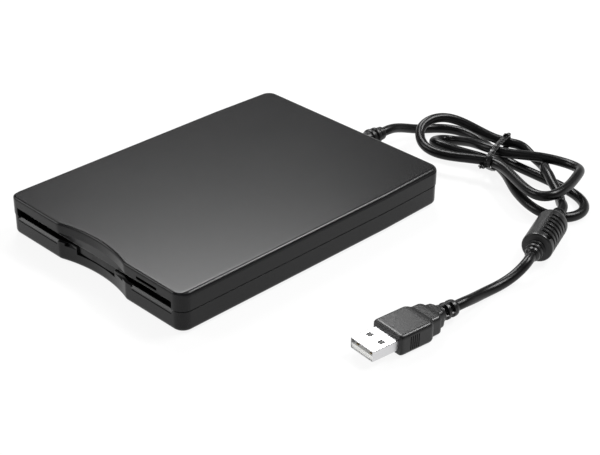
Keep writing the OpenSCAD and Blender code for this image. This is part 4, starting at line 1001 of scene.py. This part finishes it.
def windowShadePiece():
    # two dark plates just below the shell's face that fill its windows: painted shade, put there to
    # stand in for the shade inside the windows
    s = shellShape
    top = plug["middle"] + s["halfHeight"] - s["shadePlateDrop"]
    half, (y0, y1), gap = s["windowHalf"], s["windowY"], s["shadePlateGap"]
    parts = [plugBox([x - half + gap, y0 + gap, top - s["shadePlateThick"]],
                     [x + half - gap, y1 - gap, top]) for x in s["windows"]]
    return newPiece("latchPads", *combine(parts), "case", "moulded_pvc", 30)


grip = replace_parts(flatNormals(gripPiece()), "plug_grip")
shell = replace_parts(flatNormals(shellPiece()), "plug_shell")
# dark plates of painted shade in the shell's windows
windowShade = windowShadePiece()
print("plug made")

# grain and blotch are the sizes of the fine and the broad noise, depth is how far the surface is
# raised, and spread is the share by which the colour drifts
finishes = {
    "case_plastic": {"colour": (0.0065, 0.0065, 0.0068), "rough": (0.262, 0.27), "specular": 0.2,
                     "grain": 0.3, "depth": 0.0045, "spread": 0.05, "blotch": 40},
    "door_plastic": {"colour": (0.012, 0.012, 0.0125), "rough": (0.3, 0.38), "specular": 0.35,
                     "grain": 0.25, "depth": 0.01, "spread": 0.06, "blotch": 15},
    "button_plastic": {"colour": (0.022, 0.022, 0.023), "rough": (0.28, 0.36), "specular": 0.45,
                       "grain": 0.2, "depth": 0.008, "spread": 0.05, "blotch": 8},
    "light_pipe": {"colour": (0.09, 0.09, 0.095), "rough": (0.12, 0.2), "specular": 0.5,
                   "grain": 0.6, "depth": 0.01, "spread": 0.08, "blotch": 2, "clear": 0.35},
    "led_epoxy": {"colour": (0.18, 0.3, 0.18), "rough": (0.08, 0.16), "specular": 0.5,
                  "grain": 0.5, "depth": 0.01, "spread": 0.1, "blotch": 2, "clear": 0.3},
    "foot_rubber": {"colour": (0.016, 0.016, 0.016), "rough": (0.7, 0.85), "specular": 0.3,
                    "grain": 0.15, "depth": 0.03, "spread": 0.2, "blotch": 3},
    "sheet_steel": {"colour": (0.5, 0.51, 0.52), "rough": (0.3, 0.45), "metal": 1,
                    "grain": 0.5, "depth": 0.006, "spread": 0.14, "blotch": 5, "kind": "spangle"},
    "bright_steel": {"colour": (0.68, 0.69, 0.71), "rough": (0.16, 0.28), "metal": 1,
                     "grain": 0.15, "depth": 0.004, "spread": 0.06, "blotch": 3,
                     "stretch": (1, 0.08, 1)},
    "screw_steel": {"colour": (0.33, 0.33, 0.34), "rough": (0.3, 0.42), "metal": 1,
                    "grain": 0.2, "depth": 0.01, "spread": 0.12, "blotch": 2},
    "carriage_plastic": {"colour": (0.06, 0.06, 0.065), "rough": (0.45, 0.6), "specular": 0.4,
                         "grain": 0.3, "depth": 0.02, "spread": 0.15, "blotch": 4},
    "head_ceramic": {"colour": (0.28, 0.29, 0.31), "rough": (0.08, 0.16), "specular": 0.6,
                     "grain": 0.4, "depth": 0.003, "spread": 0.1, "blotch": 1.5},
    "motor_can": {"colour": (0.42, 0.43, 0.45), "rough": (0.24, 0.38), "metal": 1,
                  "grain": 0.25, "depth": 0.008, "spread": 0.08, "blotch": 4,
                  "stretch": (1, 0.1, 1)},
    "bearing_bronze": {"colour": (0.5, 0.36, 0.18), "rough": (0.35, 0.5), "metal": 1,
                       "grain": 0.12, "depth": 0.02, "spread": 0.15, "blotch": 1.5},
    "coil_copper": {"colour": (0.58, 0.26, 0.11), "rough": (0.2, 0.34), "metal": 1,
                    "grain": 0.3, "depth": 0.05, "spread": 0.12, "blotch": 2, "kind": "winding"},
    "board_green": {"colour": (0.03, 0.13, 0.055), "rough": (0.22, 0.34), "specular": 0.5,
                    "grain": 0.4, "depth": 0.02, "spread": 0.1, "blotch": 12, "kind": "traces"},
    "chip_black": {"colour": (0.02, 0.02, 0.021), "rough": (0.5, 0.62), "specular": 0.4,
                   "grain": 0.12, "depth": 0.012, "spread": 0.1, "blotch": 4},
    "ribbon_amber": {"colour": (0.42, 0.19, 0.04), "rough": (0.18, 0.3), "specular": 0.5,
                     "grain": 0.5, "depth": 0.02, "spread": 0.12, "blotch": 5, "kind": "stripes"},
    "switch_plastic": {"colour": (0.68, 0.66, 0.58), "rough": (0.4, 0.5), "specular": 0.4,
                       "grain": 0.3, "depth": 0.01, "spread": 0.05, "blotch": 3},
    "plunger_plastic": {"colour": (0.05, 0.05, 0.055), "rough": (0.3, 0.4), "specular": 0.4,
                        "grain": 0.2, "depth": 0.008, "spread": 0.08, "blotch": 1},
    "cord_jacket": {"colour": (0.004, 0.004, 0.0042), "rough": (0.27, 0.33), "specular": 0.2,
                    "grain": 0.35, "depth": 0.014, "spread": 0.15, "blotch": 9},
    "tie_plastic": {"colour": (0.005, 0.005, 0.0052), "rough": (0.24, 0.34), "specular": 0.35,
                    "grain": 0.5, "depth": 0.03, "spread": 0.15, "blotch": 2},
    "moulded_pvc": {"colour": (0.0065, 0.0065, 0.0068), "rough": (0.3, 0.36), "specular": 0.35,
                    "grain": 0.2, "depth": 0.018, "spread": 0.1, "blotch": 6},
    "plug_metal": {"colour": (0.68, 0.68, 0.69), "rough": (0.38, 0.46), "metal": 1,
                   "grain": 0.12, "depth": 0.003, "spread": 0.03, "blotch": 4,
                   "stretch": (1, 0.08, 1)},
    "plug_core": {"colour": (0.8, 0.8, 0.78), "rough": (0.4, 0.5), "specular": 0.4,
                  "grain": 0.25, "depth": 0.01, "spread": 0.04, "blotch": 3},
    "contact_gold": {"colour": (0.78, 0.56, 0.2), "rough": (0.16, 0.26), "metal": 1,
                     "grain": 0.12, "depth": 0.003, "spread": 0.05, "blotch": 1.5,
                     "stretch": (1, 0.1, 1)},
}
# the size of each kind of pattern, and what all the finishes share
patterns = {"spangle": 3.5, "winding": 1.3, "stripes": 4, "traces": 6}
texture = {"grainDetail": 2, "blotchDetail": 4, "roughDetail": 5, "octaves": 0.55, "roughSize": 0.3,
           "roughRange": (0.3, 0.7), "bump": 0.8, "contrast": 2.6, "windingDrift": 0.3,
           "traceWidth": 0.035, "betweenTraces": 0.25}


def addNode(tree, kind, sockets=(), **settings):
    # a node with its settings made and the given numbers or colours on its input sockets
    node = tree.nodes.new(kind)
    for key, value in settings.items():
        setattr(node, key, value)
    for key, value in dict(sockets).items():
        node.inputs[key].default_value = value
    return node


def addRange(tree, value, fromLow, fromHigh, toLow, toHigh):
    # the value carried in proportion from one range to another and held at its ends
    node = addNode(tree, "ShaderNodeMapRange", {"From Min": fromLow, "From Max": fromHigh,
                                                "To Min": toLow, "To Max": toHigh})
    tree.links.new(value, node.inputs["Value"])
    return node.outputs["Result"]


def grey(level):
    # one level for red, green and blue, fully solid
    return (level, level, level, 1)


def makeFinish(slot, look):
    # colour drifts between a darker and a lighter tone over broad noise, roughness over finer
    # noise, and the finest noise, or the finish's own pattern, raises the surface a little
    first, *others = slot.split("_")
    material = bpy.data.materials.new(first + "".join(word.capitalize() for word in others))
    material.use_nodes = True
    tree = material.node_tree
    link, shader = tree.links.new, tree.nodes["Principled BSDF"]
    placed = addNode(tree, "ShaderNodeMapping", {"Scale": look.get("stretch", (1, 1, 1))})
    link(addNode(tree, "ShaderNodeTexCoord").outputs["Object"], placed.inputs["Vector"])

    def pattern(kind, output, sockets, **settings):
        # one output of a texture read on the placed coordinates
        node = addNode(tree, kind, sockets, **settings)
        link(placed.outputs["Vector"], node.inputs["Vector"])
        return node.outputs[output]

    def noise(size, detail):
        # cloudy noise whose patches are about the size across
        return pattern("ShaderNodeTexNoise", "Fac", {"Scale": 1 / (size * mm), "Detail": detail,
                                                     "Roughness": texture["octaves"]})

    height, own, kind = noise(look["grain"], texture["grainDetail"]), None, look.get("kind")
    scale = {"Scale": 1 / (patterns[kind] * mm)} if kind else {}
    if kind == "spangle":
        own = pattern("ShaderNodeTexVoronoi", "Color", scale)
    elif kind == "winding":
        own = height = pattern("ShaderNodeTexWave", "Fac", {
            **scale, "Distortion": texture["windingDrift"], "Detail": 0}, bands_direction="Z")
    elif kind == "stripes":
        own = height = pattern("ShaderNodeTexWave", "Fac", {**scale, "Detail": 0})
    elif kind == "traces":
        own = pattern("ShaderNodeTexBrick", "Color", {
            **scale, "Mortar Size": texture["traceWidth"], "Mortar": grey(1), "Color1": grey(0),
            "Color2": grey(texture["betweenTraces"])})
    base, spread = np.array(look["colour"]), look["spread"]
    low = base * (1 - spread)
    high = np.minimum(base * (1 + spread * (texture["contrast"] if own else 1)), 1)
    tone = addNode(tree, "ShaderNodeMix", {}, data_type="RGBA")
    tone.inputs[6].default_value, tone.inputs[7].default_value = (*low, 1), (*high, 1)
    link(own or noise(look["blotch"], texture["blotchDetail"]), tone.inputs[0])
    link(tone.outputs[2], shader.inputs["Base Color"])
    fine = noise(look["blotch"] * texture["roughSize"], texture["roughDetail"])
    link(addRange(tree, fine, *texture["roughRange"], *look["rough"]), shader.inputs["Roughness"])
    raised = addNode(tree, "ShaderNodeBump", {"Strength": texture["bump"],
                                              "Distance": look["depth"] * mm})
    link(height, raised.inputs["Height"])
    link(raised.outputs["Normal"], shader.inputs["Normal"])
    for socket, key in (("Metallic", "metal"), ("Specular IOR Level", "specular"),
                        ("Transmission Weight", "clear")):
        if key in look:
            shader.inputs[socket].default_value = look[key]
    return material


materials = {slot: makeFinish(slot, look) for slot, look in finishes.items()}
slotOf = {part["node"]: part["material_slot"] for part in frame["record"]["subparts"]}
for name, item in nodes.items():
    item.data.materials.clear()
    item.data.materials.append(materials[slotOf[name]])
for item in bpy.data.objects:
    if item.type == "MESH" and "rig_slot" in item:
        item.data.materials.clear()
        item.data.materials.append(materials[item["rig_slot"]])
print("finishes made,", len(materials))

# lengths here are in metres
studio = {
    "world": 0.42,
    "horizon": (0.06, 0.38),
    "overhead": 0.02,
    "floor": -0.0001,
    "floorHalf": 4,
    "floorTone": 0.85,
    "floorRough": 0.9,
    "floorGlow": 0.88,
    "aim": (0.03, 0.02, 0),
    "lights": {
        "sheen": {"place": (-0.507, 0.421, 0.728), "size": (0.343, 0.343), "power": 6.4},
        "edge": {"place": (0.31, 0.72, 0.97), "size": (0.5, 0.25), "power": 12.0},
        "key": {"place": (0.5, -0.9, 1.1), "size": (0.8, 0.8), "power": 1.5},
        "front": {"place": (-0.75, -0.58, 0.6), "size": (0.4, 0.4), "power": 3.6},
    },
}


def addLight(name, place, size, power):
    # a rectangular lamp that faces the studio's aim
    data = bpy.data.lights.new(name, "AREA")
    data.shape, data.size, data.size_y, data.energy = "RECTANGLE", size[0], size[1], power
    turn = (Vector(place) - Vector(studio["aim"])).to_track_quat("Z", "Y").to_matrix().to_4x4()
    addObject(name, data).matrix_world = Matrix.Translation(place) @ turn


def largest(tree, first, second):
    # the larger of two values
    node = addNode(tree, "ShaderNodeMath", operation="MAXIMUM")
    tree.links.new(first, node.inputs[0])
    tree.links.new(second, node.inputs[1])
    return node.outputs[0]


def raysOf(tree, names):
    # 1 for a ray of any of the named kinds, 0 for light that only fills
    rays = addNode(tree, "ShaderNodeLightPath").outputs
    out = rays[names[0]]
    for name in names[1:]:
        out = largest(tree, out, rays[name])
    return out


def addFloor():
    # a wide square that reads as white where it is seen or mirrored and still takes the shadow:
    # a matt surface mixed with a plain glow
    mesh = bpy.data.meshes.new("floor")
    half = studio["floorHalf"]
    corners = ((-half, -half), (half, -half), (half, half), (-half, half))
    mesh.from_pydata([[x, y, studio["floor"]] for x, y in corners], [], [[0, 1, 2, 3]])
    item = addObject("floor", mesh)
    material = bpy.data.materials.new("paleFloor")
    material.use_nodes = True
    tree = material.node_tree
    link, shader = tree.links.new, tree.nodes["Principled BSDF"]
    shader.inputs["Base Color"].default_value = grey(studio["floorTone"])
    shader.inputs["Roughness"].default_value = studio["floorRough"]
    glow = addNode(tree, "ShaderNodeEmission", {"Color": grey(1)})
    blend = addNode(tree, "ShaderNodeMixShader")
    share = addNode(tree, "ShaderNodeMath", {1: studio["floorGlow"]}, operation="MULTIPLY")
    link(raysOf(tree, ("Is Camera Ray", "Is Glossy Ray", "Is Transmission Ray")), share.inputs[0])
    for source, target in zip((share, shader, glow), blend.inputs):
        link(source.outputs[0], target)
    link(blend.outputs[0], tree.nodes["Material Output"].inputs["Surface"])
    mesh.materials.append(material)


def addWorld():
    # reflections see white at the horizon fading to a dim ceiling, fill light sees one plain level
    world = bpy.data.worlds.new("studio")
    bpy.context.scene.world = world
    world.use_nodes = True
    tree = world.node_tree
    link, background = tree.links.new, tree.nodes["Background"]
    background.inputs["Color"].default_value = grey(1)
    split = addNode(tree, "ShaderNodeSeparateXYZ")
    link(addNode(tree, "ShaderNodeTexCoord").outputs["Generated"], split.inputs[0])
    level = addNode(tree, "ShaderNodeMix", {2: studio["world"]})
    link(raysOf(tree, ("Is Glossy Ray", "Is Transmission Ray")), level.inputs[0])
    link(addRange(tree, split.outputs["Z"], *studio["horizon"], 1, studio["overhead"]),
         level.inputs[3])
    link(largest(tree, raysOf(tree, ("Is Camera Ray",)), level.outputs[0]),
         background.inputs["Strength"])


addFloor()
addWorld()
for name, values in studio["lights"].items():
    addLight(name, **values)
bpy.context.scene.view_settings.view_transform = "Standard"
print("studio made")
